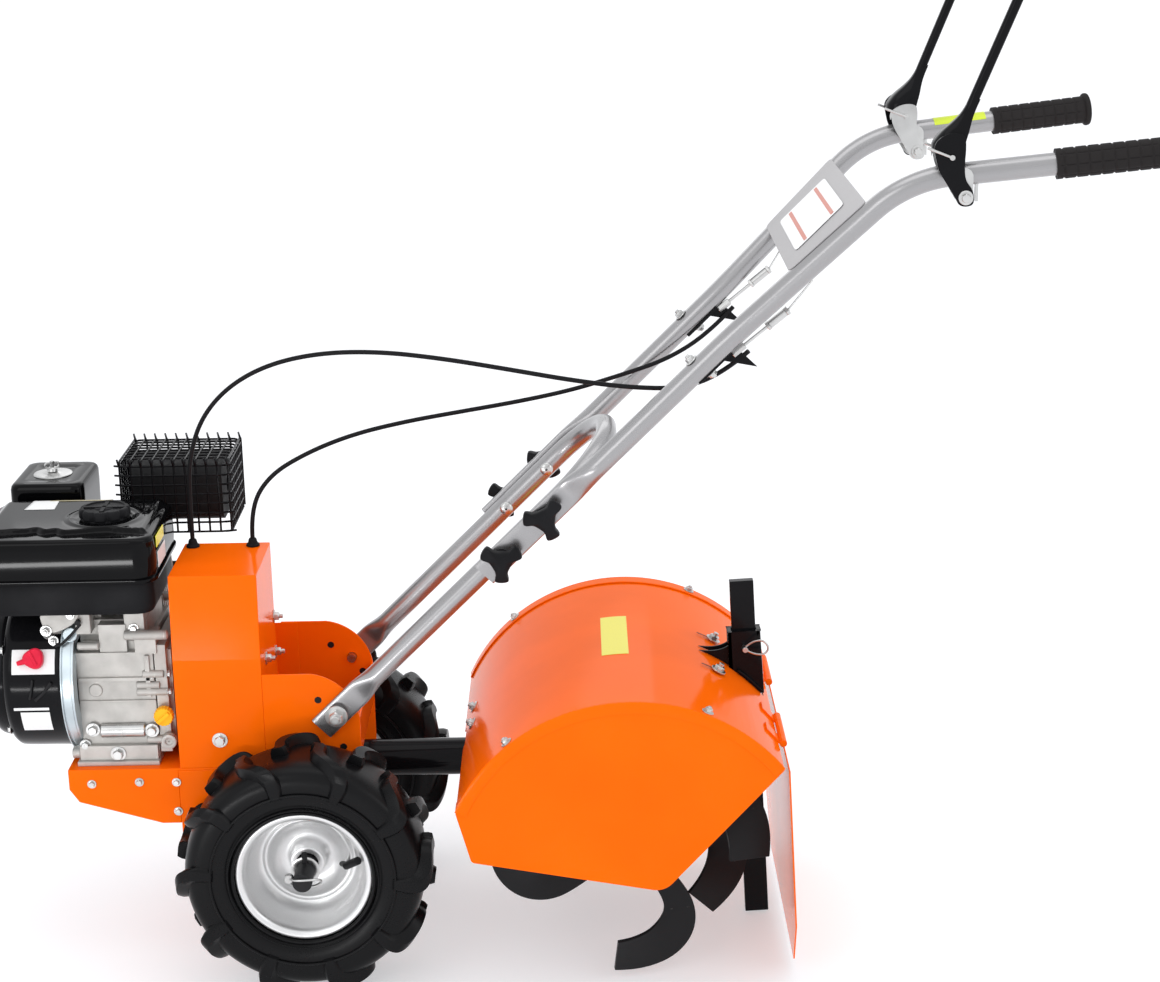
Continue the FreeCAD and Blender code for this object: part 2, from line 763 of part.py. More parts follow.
def make_tine(plane, turn, side):
    """One blade: a flat shank that curls forward at the bottom, its tip bent sideways."""
    axis = Vector(0, 0, 0)
    y0, y1 = sorted((plane, plane + side * TINE_THICKNESS))
    half = TINE_WIDTH / 2
    curl = Vector(-TINE_CURL_RADIUS, 0, TINE_STRAIGHT)
    radius = TINE_CURL_RADIUS + half
    straight = box(-half, half, y0, y1, TINE_ROOT, TINE_STRAIGHT)
    curled = arc_sheet(curl, radius, TINE_WIDTH, y0, y1, 0, TINE_CURL)
    reach = Vector(0, 2 * SHIELD_HALF_WIDTH, 0)
    sweep = rod(axis - reach, axis + reach, ROTOR_RADIUS)
    shank = fused([straight, curled]).common(sweep)
    t0, t1 = sorted((plane, plane + side * TINE_TIP))
    first, last = TINE_TIP_ANGLES
    tip = arc_sheet(axis, ROTOR_RADIUS, TINE_THICKNESS, t0, t1, 90 + first, 90 + last)
    tine = fused([shank, tip])
    tine.rotate(axis, Vector(0, 1, 0), turn)
    tine.translate(Vector(ROTOR_X, 0, ROTOR_Z))
    return tine


def make_rotor():
    """Rotor shaft with hubs and flanges, and the blades bolted to them."""
    centre = Vector(ROTOR_X, 0, ROTOR_Z)
    end = TINE_PLANES[-1] + ROTOR_SHAFT_END
    reach = Vector(0, end, 0)
    solids = [rod(centre - reach, centre + reach, ROTOR_SHAFT_RADIUS)]
    tines = []
    step = 360 / TINES_PER_FLANGE
    for side, phases in ((1, TINE_PHASES), (-1, FAR_TINE_PHASES)):
        hub_in = centre + Vector(0, side * (CASE_WIDTH / 2 + RUNNING_GAP), 0)
        solids.append(rod(hub_in, centre + Vector(0, side * end, 0), ROTOR_HUB_RADIUS))
        for plane, phase in zip(TINE_PLANES, phases):
            seat = centre + Vector(0, side * plane, 0)
            back = seat - Vector(0, side * TINE_FLANGE, 0)
            solids.append(rod(back, seat, TINE_FLANGE_RADIUS))
            for index in range(TINES_PER_FLANGE):
                tines.append(make_tine(side * plane, phase + index * step, side))
    return {"rotor_shaft": fused(solids), "tine_blades": Part.makeCompound(tines)}


# --------------------------------------------------------------------- shield
def shield_centre():
    """Axis of the shield's arc."""
    return Vector(SHIELD_X, 0, SHIELD_Z)


def make_shield():
    """Half-barrel cover over the rotor, two side plates and its inner bracket."""
    front = SHIELD_FRONT_ANGLE
    rear = SHIELD_REAR_ANGLE
    centre = shield_centre()
    width = SHIELD_HALF_WIDTH
    inside = width - SHIELD_SHEET
    skin = arc_sheet(centre, SHIELD_RADIUS, SHIELD_SHEET, -inside, inside, front, rear)
    half_notch = TUBE_RADIUS + TUBE_NOTCH_GAP
    edge = arc_point(centre, SHIELD_RADIUS, front)
    notch = box(
        edge.x - SHIELD_RIM,
        edge.x + SHIELD_RIM,
        -half_notch,
        half_notch,
        edge.z - SHIELD_RIM,
        max(edge.z, TUBE_HEIGHT + TUBE_RADIUS + TUBE_NOTCH_GAP),
    )
    skin = skin.cut(notch).cut(socket_block(0.0)).cut(stake_room())
    rim_radius = SHIELD_RADIUS + SHIELD_SHEET
    rim = arc_sheet(centre, rim_radius, SHIELD_SHEET, width - SHIELD_RIM, width, front + 1, rear - 1)
    start, crown, end = (
        arc_point(centre, SHIELD_RADIUS, angle, inside) for angle in (front, 90, rear)
    )
    heel = centre + Vector(SHIELD_HEEL_X, inside, SHIELD_HEEL_Z)
    toe = centre + Vector(SHIELD_TOE_X, inside, SHIELD_TOE_Z)
    lower = round_path([end, heel, toe, start], [SHIELD_HEEL_RADIUS, SHIELD_TOE_RADIUS])
    edges = [Part.Arc(start, crown, end).toShape()] + lower.Edges
    plate = Part.Face(Part.Wire(edges)).extrude(Vector(0, SHIELD_SHEET, 0))
    side = fused([plate, rim])

    (x0, z0), (x1, z1) = case_outline()
    slope = (z1 - z0) / (x1 - x0)
    high = case_front() - BRACKET_SETBACK
    low = high - BRACKET_LENGTH
    crest = SHIELD_Z + SHIELD_RADIUS
    half = CASE_WIDTH / 2
    block = prism_y(
        [(high, z0 + slope * (high - x0)), (high, crest), (low, crest), (low, z0 + slope * (low - x0))],
        -half,
        half,
    )
    across = Vector(0, CASE_WIDTH, 0)
    barrel = rod(centre - across, centre + across, SHIELD_RADIUS - SHIELD_SHEET)
    return {
        "shield_skin": skin,
        "shield_side_left": side,
        "shield_side_right": mirrored(side),
        "shield_bracket": block.common(barrel),
    }


def make_flap():
    """Rear flap on two butt hinges along the lower rear edge of the shield."""
    centre = shield_centre()
    rear = SHIELD_REAR_ANGLE
    skin_end = arc_point(centre, SHIELD_RADIUS, rear)
    hinge = skin_end + Vector(-HINGE_RADIUS - HINGE_STANDOFF, 0, 0)
    x = hinge.x
    y = FLAP_HALF_WIDTH
    top = hinge.z - HINGE_RADIUS - HINGE_STANDOFF
    rise = FLAP_GROUND_GAP + FLAP_CORNER_RISE
    inset = y - FLAP_CORNER
    corners = [
        Vector(x, -y, top),
        Vector(x, y, top),
        Vector(x, y, rise),
        Vector(x, inset, FLAP_GROUND_GAP),
        Vector(x, -inset, FLAP_GROUND_GAP),
        Vector(x, -y, rise),
    ]
    flap = [outline(corners).extrude(Vector(-FLAP_SHEET, 0, 0))]
    leaves = []
    half = HINGE_KNUCKLE / 2
    reach = half + RUNNING_GAP + HINGE_LEAF
    leaf_radius = SHIELD_RADIUS + SEAT_GAP + SHIELD_SHEET
    drum = rod(centre - Vector(0, y, 0), centre + Vector(0, y, 0), SHIELD_RADIUS + SEAT_GAP)
    bores = []
    for side in (1, -1):
        middle = hinge + Vector(0, side * HINGE_CENTRE, 0)
        step = Vector(0, 1, 0)
        flap.append(rod(middle - step * half, middle + step * half, HINGE_RADIUS))
        flap.append(
            box(x - FLAP_SHEET, x, middle.y - half, middle.y + half, top - HINGE_STANDOFF, hinge.z)
        )
        pin = rod(middle - step * reach, middle + step * reach, HINGE_PIN_RADIUS)
        solids = [pin]
        bores.append(rod(middle - step * reach, middle + step * reach, HINGE_PIN_RADIUS + BORE_GAP))
        for end in (1, -1):
            y0, y1 = sorted((middle.y + end * (half + RUNNING_GAP), middle.y + end * reach))
            knuckle = rod(Vector(x, y0, hinge.z), Vector(x, y1, hinge.z), HINGE_RADIUS)
            leaf = arc_sheet(centre, leaf_radius, SHIELD_SHEET, y0, y1, rear - HINGE_LEAF_ANGLE, rear)
            solids.append(fused([knuckle, leaf]).cut(drum))
        leaves.append(fused(solids))
    flap = fused(flap)
    for bore in bores:
        flap = flap.cut(bore)
    flap.rotate(hinge, Vector(0, 1, 0), FLAP_LEAN)
    return {"rear_flap": flap, "hinge_leaves": Part.makeCompound(leaves)}


# ---------------------------------------------------------------------- stake
def on_stake(shape):
    """Tip a piece drawn upright about the origin and set it where the stake meets the skin."""
    shape.rotate(Vector(0, 0, 0), Vector(0, 1, 0), STAKE_LEAN)
    shape.translate(arc_point(shield_centre(), SHIELD_RADIUS, STAKE_ANGLE))
    return shape


def upright(grow, low, high):
    """Bar of the stake's section, grown on all four sides, set in place."""
    half_w = STAKE_WIDTH / 2 + grow
    half_t = STAKE_THICKNESS / 2 + grow
    return on_stake(box(-half_w, half_w, -half_t, half_t, low, high))


def socket_block(extra):
    """Outside of the sleeve that holds the stake."""
    return upright(STAKE_GAP + SOCKET_WALL + extra, -SOCKET_DROP, SOCKET_RISE)


def stake_room():
    """Room for the stake, with its running clearance."""
    return upright(STAKE_GAP, -STAKE_REACH, STAKE_REACH)


def make_stake():
    """Depth stake in its leaning sleeve, held by a cross pin."""
    centre = shield_centre()
    pitch = STAKE_HOLE_PITCH
    pin_z = SOCKET_RISE - SOCKET_PIN_DEPTH
    half_t = STAKE_THICKNESS / 2
    far = Vector(0, SHIELD_HALF_WIDTH, 0)
    bore = STAKE_PIN_RADIUS + BORE_GAP
    stake = upright(0.0, -SHIELD_RADIUS - STAKE_REACH, STAKE_REACH)
    for step in range(-STAKE_HOLES_BELOW, STAKE_HOLES_ABOVE + 1):
        hole = Vector(0, 0, pin_z + step * pitch)
        stake = stake.cut(on_stake(rod(hole - far, hole + far, bore)))
    x = arc_point(centre, SHIELD_RADIUS, STAKE_ANGLE).x
    ground = box(x - SHIELD_RADIUS, x + SHIELD_RADIUS, -far.y, far.y, -SHIELD_RADIUS, 0)
    stake = stake.cut(ground)

    half_plate = SOCKET_PLATE_HALF_WIDTH
    spread = math.degrees(SOCKET_PLATE_FORWARD / SHIELD_RADIUS)
    sleeve_span = math.degrees(STAKE_WIDTH / SHIELD_RADIUS)
    plate = arc_sheet(
        centre,
        SHIELD_RADIUS + SOCKET_PLATE,
        SOCKET_PLATE,
        -half_plate,
        half_plate,
        STAKE_ANGLE - sleeve_span - spread,
        STAKE_ANGLE + math.degrees(SOCKET_PLATE_BACK / SHIELD_RADIUS),
    )
    pin = Vector(0, 0, pin_z)
    inner = Vector(0, half_t + STAKE_GAP, 0)
    outer = Vector(0, half_t + STAKE_GAP + SOCKET_WALL + SOCKET_PIN_PROUD, 0)
    stubs = [
        on_stake(rod(pin + inner, pin + outer, STAKE_PIN_RADIUS)),
        on_stake(rod(pin - outer, pin - inner, STAKE_PIN_RADIUS)),
    ]
    sleeve = fused([socket_block(0.0), plate]).cut(stake_room())
    return {"depth_stake": stake, "stake_sleeve": fused([sleeve] + stubs)}


# ----------------------------------------------------------------- handlebars
def on_handle(reach, side, lift=0.0):
    """Point at a distance up the sloping handle line from its lower bolt."""
    angle = math.radians(HANDLE_ANGLE)
    x = HANDLE_BOLT_X - reach * math.cos(angle) + lift * math.sin(angle)
    z = HANDLE_BOLT_Z + reach * math.sin(angle) + lift * math.cos(angle)
    return Vector(x, side, z)


def handle_block(reach0, reach1, y0, y1, lift0, lift1):
    """Block that lies square to the sloping handle line."""
    face = outline(
        [
            on_handle(reach0, y0, lift0),
            on_handle(reach1, y0, lift0),
            on_handle(reach1, y0, lift1),
            on_handle(reach0, y0, lift1),
        ]
    )
    return face.extrude(Vector(0, y1 - y0, 0))


def upper_inner_side():
    """Side of the lower tube's outer face, against which the upper tube's flat lies."""
    return LOWER_LEG_SIDE + HANDLE_TUBE_RADIUS


def upper_side(reach):
    """Side of the upper tube's centre line, straight up to the knee and then opening out."""
    start = upper_inner_side() + HANDLE_TUBE_RADIUS
    knee = start + UPPER_KNEE_STEP
    if reach < UPPER_KNEE_REACH:
        return start + (knee - start) * (reach - KNOB_REACH[1]) / (UPPER_KNEE_REACH - KNOB_REACH[1])
    return knee + (UPPER_BEND_SIDE - knee) * (reach - UPPER_KNEE_REACH) / (
        UPPER_BEND_REACH - UPPER_KNEE_REACH
    )


def handle_end():
    """Rear end of the left upper tube, inside its grip."""
    return Vector(HANDLE_END_X, HANDLE_END_SIDE, HANDLE_END_Z)


def make_handles():
    """Lower loop, two upper tubes, console plate, grips and clamp knobs."""
    r = HANDLE_TUBE_RADIUS
    leg = LOWER_LEG_SIDE
    wire = round_path(
        [
            on_handle(LOWER_LEG_START, leg),
            on_handle(LOWER_LOOP_REACH, leg),
            on_handle(LOWER_LOOP_REACH, -leg),
            on_handle(LOWER_LEG_START, -leg),
        ],
        [LOWER_LOOP_RADIUS, LOWER_LOOP_RADIUS],
    )
    seat = CHASSIS_HALF_WIDTH
    low, high = LOWER_FLAT_REACH
    tall = LOWER_FLAT_HALF_HEIGHT
    flat = handle_block(low, high, seat, seat + LOWER_FLAT, -tall, tall)
    lower = fused([swept(wire, r), flat, mirrored(flat)])

    outer = upper_inner_side()
    start = KNOB_REACH[1] + UPPER_TUBE_SETBACK
    wire = round_path(
        [
            on_handle(start, upper_side(start)),
            on_handle(UPPER_KNEE_REACH, upper_side(UPPER_KNEE_REACH)),
            on_handle(UPPER_BEND_REACH, UPPER_BEND_SIDE),
            handle_end(),
        ],
        [UPPER_KNEE_RADIUS, UPPER_BEND_RADIUS],
    )
    tall = UPPER_FLAT_HALF_HEIGHT
    strap = handle_block(
        UPPER_START, start + UPPER_FLAT_OVERLAP, outer, outer + UPPER_FLAT, -tall, tall
    )
    upper = fused([swept(wire, r), strap])

    bolt = Vector(HANDLE_BOLT_X, 0, HANDLE_BOLT_Z)
    far = Vector(0, SHIELD_HALF_WIDTH, 0)
    lower = lower.cut(rod(bolt - far, bolt + far, HANDLE_BOLT_RADIUS + BOLT_GAP))
    knobs = []
    for reach in KNOB_REACH:
        point = on_handle(reach, 0)
        bore = rod(point - far, point + far, KNOB_STUD_RADIUS + BOLT_GAP)
        lower = lower.cut(bore)
        upper = upper.cut(bore)
        tip = on_handle(reach, leg - r - KNOB_STUD_PROUD)
        foot = on_handle(reach, outer + UPPER_FLAT)
        neck = foot + Vector(0, KNOB_NECK, 0)
        knob = fused(
            [
                rod(tip, foot, KNOB_STUD_RADIUS),
                rod(foot, neck, KNOB_NECK_RADIUS),
                rod(neck, neck + Vector(0, KNOB_HEAD, 0), KNOB_HEAD_RADIUS),
            ]
        )
        knobs += [knob, mirrored(knob)]

    inside = bolt + Vector(0, seat - PLATE - HANDLE_BOLT_TAIL, 0)
    face = bolt + Vector(0, seat + LOWER_FLAT, 0)
    head = face + Vector(0, HANDLE_BOLT_HEAD_LENGTH, 0)
    bolt = fused([rod(inside, face, HANDLE_BOLT_RADIUS), rod(face, head, HANDLE_BOLT_HEAD)])

    end = handle_end()
    along = (end - on_handle(UPPER_BEND_REACH, UPPER_BEND_SIDE)).normalize()
    back = end - along * GRIP_LENGTH
    grip = rod(back, end + along * GRIP_CAP, GRIP_RADIUS).cut(rod(back - along, end, r))

    low, high = CONSOLE_REACH
    y_low = upper_side(low) + CONSOLE_OVERHANG
    y_high = upper_side(high) + CONSOLE_OVERHANG
    corners = [
        on_handle(low, y_low, r),
        on_handle(high, y_high, r),
        on_handle(high, -y_high, r),
        on_handle(low, -y_low, r),
    ]
    thick = on_handle(0, 0, CONSOLE_SHEET) - on_handle(0, 0)
    return {
        "handle_lower": lower,
        "handle_upper_left": upper,
        "handle_upper_right": mirrored(upper),
        "handle_knobs": Part.makeCompound(knobs),
        "handle_bolts": Part.makeCompound([bolt, mirrored(bolt)]),
        "grip_left": grip,
        "grip_right": mirrored(grip),
        "console_plate": outline(corners).extrude(thick),
    }


def lever_pivot():
    """Pivot of the left lever under its tube, and the tube's turn outwards in plan."""
    corner = on_handle(UPPER_BEND_REACH, UPPER_BEND_SIDE)
    end = handle_end()
    along = end - corner
    pivot = corner + along * ((LEVER_X - corner.x) / along.x) - Vector(0, 0, LEVER_DROP)
    return pivot, math.degrees(math.atan2(along.y, -along.x))


def make_levers():
    """Clutch lever on each grip tube, its ears astride the tube, pivoted on a lug under it."""
    pivot, splay = lever_pivot()
    r = HANDLE_TUBE_RADIUS
    half = LEVER_LUG / 2
    thick = LEVER_LUG_THICKNESS / 2
    gap = r + LEVER_EAR_GAP
    side = gap + LEVER_EAR
    wide = LEVER_EAR_HALF_WIDTH
    high = LEVER_EAR_HEIGHT
    reach = Vector(0, side + LEVER_PIN_PROUD, 0)
    lug = box(-half, half, -thick, thick, -half, LEVER_DROP)
    pin = rod(-reach, reach, LEVER_PIN_RADIUS)
    ears = [
        box(-wide, wide, gap, side, -wide, high),
        box(-wide, wide, -side, -gap, -wide, high),
        box(-wide, LEVER_BRIDGE_FORWARD, -side, side, high - LEVER_BRIDGE, high),
    ]
    foot = Vector(0, 0, LEVER_FOOT)
    lean = math.radians(LEVER_ANGLE)
    tip = foot + Vector(-math.sin(lean), 0, math.cos(lean)) * (LEVER_LENGTH - LEVER_FOOT)
    bore = rod(-reach, reach, LEVER_PIN_RADIUS + BORE_GAP)
    lever = fused(ears + [rod(foot, tip, LEVER_ROD_RADIUS)]).cut(bore)
    for shape in (lug, pin, lever):
        shape.rotate(Vector(0, 0, 0), Vector(0, 0, 1), -splay)
        shape.translate(pivot)
    tube = rod(on_handle(UPPER_BEND_REACH, UPPER_BEND_SIDE), handle_end(), r)
    lug = fused([lug.cut(tube), pin])
    return {
        "lever_left": lever,
        "lever_right": mirrored(lever),
        "lever_lugs": Part.makeCompound([lug, mirrored(lug)]),
    }


# --------------------------------------------------------------------- cables
def make_cable_stops():
    """Strap under each upper tube whose ear carries the threaded end of a cable."""
    low, high = STOP_STRAP_REACH
    under = -HANDLE_TUBE_RADIUS
    half = STOP_STRAP_WIDTH / 2
    y = CABLE_STOP_SIDE
    strap = handle_block(low, high, y - half, y + half, under - STOP_STRAP, under)
    ear_start = high - STOP_EAR_SETBACK
    floor = CABLE_STOP_LIFT - STOP_EAR_DROP
    ear = handle_block(ear_start, ear_start + STOP_STRAP, y - half, y + half, floor, under)
    start = CABLE_STOP_REACH
    barrel = rod(
        on_handle(start, y, CABLE_STOP_LIFT),
        on_handle(start + CABLE_STOP_LENGTH, y, CABLE_STOP_LIFT),
        CABLE_STOP_RADIUS,
    )
    stop = fused([strap, ear, barrel])
    tube = rod(on_handle(low, upper_side(low)), on_handle(high, upper_side(high)), -under)
    stop = stop.cut(tube)
    return Part.makeCompound([stop, mirrored(stop)])


def make_cable(name, grommet_x, points, side, stops):
    """Cable from its grommet on the belt cover to its stop under the handlebar."""
    start = Vector(grommet_x, GROMMET_SIDE, COVER_TOP + GROMMET_HEIGHT)
    end = on_handle(CABLE_STOP_REACH, side * CABLE_STOP_SIDE, CABLE_STOP_LIFT)
    route = [start] + [Vector(*point) for point in points] + [end]
    radii = []
    for index in range(1, len(route) - 1):
        before = route[index] - route[index - 1]
        after = route[index + 1] - route[index]
        half_turn = before.getAngle(after) / 2
        radii.append(0.45 * min(before.Length, after.Length) / math.tan(half_turn))
    wire = round_path(route, radii)
    cable = swept(wire, CABLE_RADIUS).cut(stops)
    section = math.pi * CABLE_RADIUS**2
    print(name, "radii", [round(radius) for radius in radii], "length", round(wire.Length, 1))
    print(name, "volume over section times length", round(cable.Volume / section / wire.Length, 4))
    return cable


def make_cables():
    """Wheel drive cable to the left lever, rotor cable to the right one, and their stops."""
    stops = make_cable_stops()
    return {
        "cable_stops": stops,
        "cable_drive": make_cable("cable_drive", GROMMET_X[0], DRIVE_CABLE, 1, stops),
        "cable_rotor": make_cable("cable_rotor", GROMMET_X[1], ROTOR_CABLE, -1, stops),
    }


# --------------------------------------------------------------------- engine
def make_crankcase():
    """Crankcase with its feet, ribs and neck, and the cover over the crankshaft's end."""
    base = BED_TOP
    half = CRANKCASE_HALF_WIDTH
    rear, front = CRANKCASE_REAR, CRANKCASE_FRONT
    top = base + CRANKCASE_HEIGHT
    block = box(rear, front, -half, half, base, top)
    block = block.makeFillet(CRANKCASE_ROUND, [e for e in block.Edges if e.BoundBox.ZMin > top - 1])
    wide = half + FOOT_OVERHANG
    foot = box(rear, front, -wide, wide, base, base + FOOT_HEIGHT)
    neck = box(rear + NECK_INSET, front - NECK_INSET, *NECK_SIDES, top - CRANKCASE_ROUND, top + NECK_HEIGHT)
    solids = [block, foot, neck]
    for height in CASE_RIB_HEIGHTS:
        z = base + height
        solids.append(
            box(rear, front - NECK_INSET, -half - CASE_RIB, half + CASE_RIB, z, z + CASE_RIB)
        )
    cover_rear = rear - CASE_COVER
    low = base + CASE_COVER_RAISE
    cover = box(cover_rear, rear, -half, half, low, top - CASE_COVER_DROP)
    cover_solids = [cover]
    for height in CASE_BOSS_HEIGHTS:
        for y in (half, -half):
            joint = Vector(rear, y, base + height)
            solids.append(rod(joint, joint + Vector(CASE_BOSS_LENGTH, 0, 0), CASE_BOSS_RADIUS))
            cover_solids.append(rod(joint, joint - Vector(CASE_COVER, 0, 0), CASE_BOSS_RADIUS))
    for radius, height in ((FILLER_RADIUS, FILLER_HEIGHT), (DRAIN_RADIUS, DRAIN_HEIGHT)):
        seat = Vector(cover_rear + CASE_COVER / 2, half, base + height)
        cover_solids.append(rod(seat, seat + Vector(0, FILLER_LENGTH, 0), radius))
    return {"crankcase": fused(solids), "crankcase_cover": fused(cover_solids)}


def cylinder_x():
    """Middle of the cylinder, whose fins end just behind the fan's backing plate."""
    return CRANKCASE_FRONT - FIN_SIZE / 2 - RUNNING_GAP


def make_cylinder():
    """Finned cylinder and head leaning out to the right of the crankcase."""

    def plate(size, start, length):
        """Square plate across the cylinder's axis, drawn along +Z."""
        return box(-size / 2, size / 2, -size / 2, size / 2, start, start + length)

    origin = Vector(0, 0, 0)
    barrel = rod(Vector(0, 0, CYLINDER_START), Vector(0, 0, HEAD_START), CYLINDER_CORE)
    fins = [plate(FIN_SIZE, FIN_FIRST + index * FIN_PITCH, FIN_THICKNESS) for index in range(FINS)]
    head = plate(HEAD_SIZE, HEAD_START, HEAD_LENGTH)
    valve_cover = plate(VALVE_COVER_SIZE, HEAD_START + HEAD_LENGTH, VALVE_COVER_LENGTH)
    cylinder = fused([barrel, head, valve_cover] + fins)
    cylinder.rotate(origin, Vector(1, 0, 0), 90 - CYLINDER_RISE)
    cylinder.translate(Vector(cylinder_x(), 0, BED_TOP + CRANK_HEIGHT))
    return cylinder


def make_fan():
    """Backing plate with its wing over the cylinder, fan housing and recoil starter."""
    z = BED_TOP + CRANK_HEIGHT
    x0 = CRANKCASE_FRONT
    x1 = x0 + SHROUD_PLATE
    x2 = x1 + FAN_DEPTH
    low, high = (BED_TOP + height for height in SHROUD_WING_HEIGHTS)
    disc = turned_x([(x0, 0), (x0, RECOIL_RADIUS), (x1, RECOIL_RADIUS), (x1, 0)], 0, z)
    wing = box(x0, x1, SHROUD_WING_SIDE, 0, low, high)
    intake = Vector(x0, INTAKE_SIDE, BED_TOP + INTAKE_HEIGHT)
    through = Vector(2 * SHROUD_PLATE, 0, 0)
    hole = rod(intake - through, intake + through, INTAKE_RADIUS + BOLT_GAP)
    plate = fused([disc, wing]).cut(hole)
    r = RECOIL_RADIUS - FAN_STEP
    wall = COVER_SHEET
    housing = turned_x(
        [
            (x1, r - wall),
            (x1, r),
            (x2 - FAN_BEVEL, r),
            (x2, r - FAN_BEVEL),
            (x2, STARTER_FACE_RADIUS),
            (x2 - wall, STARTER_FACE_RADIUS),
            (x2 - wall, r - FAN_BEVEL - wall),
            (x2 - FAN_BEVEL, r - wall),
        ],
        0,
        z,
    )
    face = RECOIL_FRONT - STARTER_STEP
    starter = turned_x(
        [
            (x2, STARTER_RADIUS - wall),
            (x2, STARTER_RADIUS),
            (face - STARTER_STEP, STARTER_RADIUS),
            (face, STARTER_FACE_RADIUS),
            (face, STARTER_HUB_RADIUS),
            (RECOIL_FRONT, STARTER_HUB_RADIUS - STARTER_STEP),
            (RECOIL_FRONT, 0),
            (RECOIL_FRONT - wall, 0),
            (RECOIL_FRONT - wall, STARTER_HUB_RADIUS - STARTER_STEP - wall),
            (face - wall, STARTER_HUB_RADIUS - wall),
            (face - wall, STARTER_FACE_RADIUS - wall),
            (face - STARTER_STEP, STARTER_RADIUS - wall),
        ],
        0,
        z,
    )
    return {"shroud_plate": plate, "fan_housing": housing, "recoil_starter": starter}


def make_tank():
    """Fuel tank of two pressings on a stand over the crankcase, with its cap."""
    wall = COVER_SHEET
    seam = TANK_TOP - TANK_BODY
    bottom = seam - TANK_SKIRT

    def shell(inset, low, high):
        """Block of the tank's plan, drawn in on all sides."""
        return box(
            TANK_REAR + inset,
            TANK_FRONT - inset,
            TANK_FAR_SIDE + inset,
            TANK_SIDE - inset,
            low,
            high,
        )

    body = shell(0, seam, TANK_TOP)
    rounded = [e for e in body.Edges if e.BoundBox.ZMax > seam + 1]
    body = body.makeFillet(TANK_ROUND, rounded)
    room = shell(wall, seam - wall, TANK_TOP - wall)
    rounded = [e for e in room.Edges if e.BoundBox.ZMax > seam]
    body = body.cut(room.makeFillet(TANK_ROUND - wall, rounded))
    inset = TANK_SKIRT_INSET
    skirt = shell(inset, bottom, seam).cut(shell(inset + wall, bottom + wall, seam + wall))
    neck_top = BED_TOP + CRANKCASE_HEIGHT + NECK_HEIGHT
    rear = CRANKCASE_REAR + NECK_INSET
    front = CRANKCASE_FRONT - NECK_INSET
    stand = box(rear, front, *TANK_STAND_SIDES, neck_top, bottom)
    foot = Vector(FUEL_CAP_X, FUEL_CAP_SIDE, TANK_TOP)
    cap = rod(foot, foot + Vector(0, 0, FUEL_CAP_HEIGHT), FUEL_CAP_RADIUS)
    return {"fuel_tank": body, "tank_skirt": fused([skirt, stand]), "fuel_cap": cap}


def make_intake():
    """Carburettor in front of the cylinder head, under the air cleaner."""
    intake_z = BED_TOP + INTAKE_HEIGHT
    head_front = cylinder_x() + HEAD_SIZE / 2
    start = Vector(head_front, INTAKE_SIDE, intake_z)
    x0 = CRANKCASE_FRONT + SHROUD_PLATE + RUNNING_GAP
    x1 = x0 + CARBURETTOR_LENGTH
    half = CARBURETTOR_WIDTH / 2
    base_top = AIR_CLEANER_TOP - AIR_CLEANER_BODY
    base_low = base_top - AIR_CLEANER_BASE
    body = box(
        x0, x1, INTAKE_SIDE - half, INTAKE_SIDE + half, intake_z - CARBURETTOR_DROP, base_low
    )
    tube = rod(start, Vector(x0 + half, INTAKE_SIDE, intake_z), INTAKE_RADIUS)

    def plan(inset, low, high):
        """Block of the air cleaner's plan, drawn in on all sides."""
        return box(
            AIR_CLEANER_REAR + inset,
            AIR_CLEANER_FRONT - inset,
            AIR_CLEANER_FAR_SIDE + inset,
            AIR_CLEANER_SIDE - inset,
            low,
            high,
        )

    wall = COVER_SHEET
    cover = plan(0, base_top, AIR_CLEANER_TOP)
    top_edges = [e for e in cover.Edges if e.BoundBox.ZMin > AIR_CLEANER_TOP - 1]
    cover = cover.makeChamfer(AIR_CLEANER_BEVEL, top_edges)
    room = plan(wall, base_top - wall, AIR_CLEANER_TOP - wall)
    top_edges = [e for e in room.Edges if e.BoundBox.ZMin > AIR_CLEANER_TOP - 2 * wall]
    cover = cover.cut(room.makeChamfer(AIR_CLEANER_BEVEL, top_edges))
    inset = AIR_CLEANER_INSET
    tray = plan(inset, base_low, base_top)
    rim = plan(0, base_top - wall, base_top)
    base = fused([tray, rim]).cut(plan(inset + wall, base_low + wall, base_top + wall))
    return {
        "carburettor": fused([body, tube]),
        "air_cleaner_base": base,
        "air_cleaner": cover,
    }


def grid(origin, along, up, columns, rows):
    """Flat panel of square wires; its near face is spanned by two edge vectors."""
    wire = GUARD_WIRE
    u = Vector(along).normalize()
    v = Vector(up).normalize()

    def frame(u0, u1, v0, v1):
        """Rectangle in the panel's plane."""
        corners = [(u0, v0), (u1, v0), (u1, v1), (u0, v1), (u0, v0)]
        return Part.makePolygon([origin + u * i + v * j for i, j in corners])

    pitch_u = (along.Length - wire) / columns
    pitch_v = (up.Length - wire) / rows
    windows = []
    for i in range(columns):
        for j in range(rows):
            u0, v0 = wire + i * pitch_u, wire + j * pitch_v
            windows.append(frame(u0, u0 + pitch_u - wire, v0, v0 + pitch_v - wire))
    wires = [frame(0, along.Length, 0, up.Length)] + windows
    face = Part.makeFace(wires, "Part::FaceMakerBullseye")
    return face.extrude(u.cross(v) * wire)


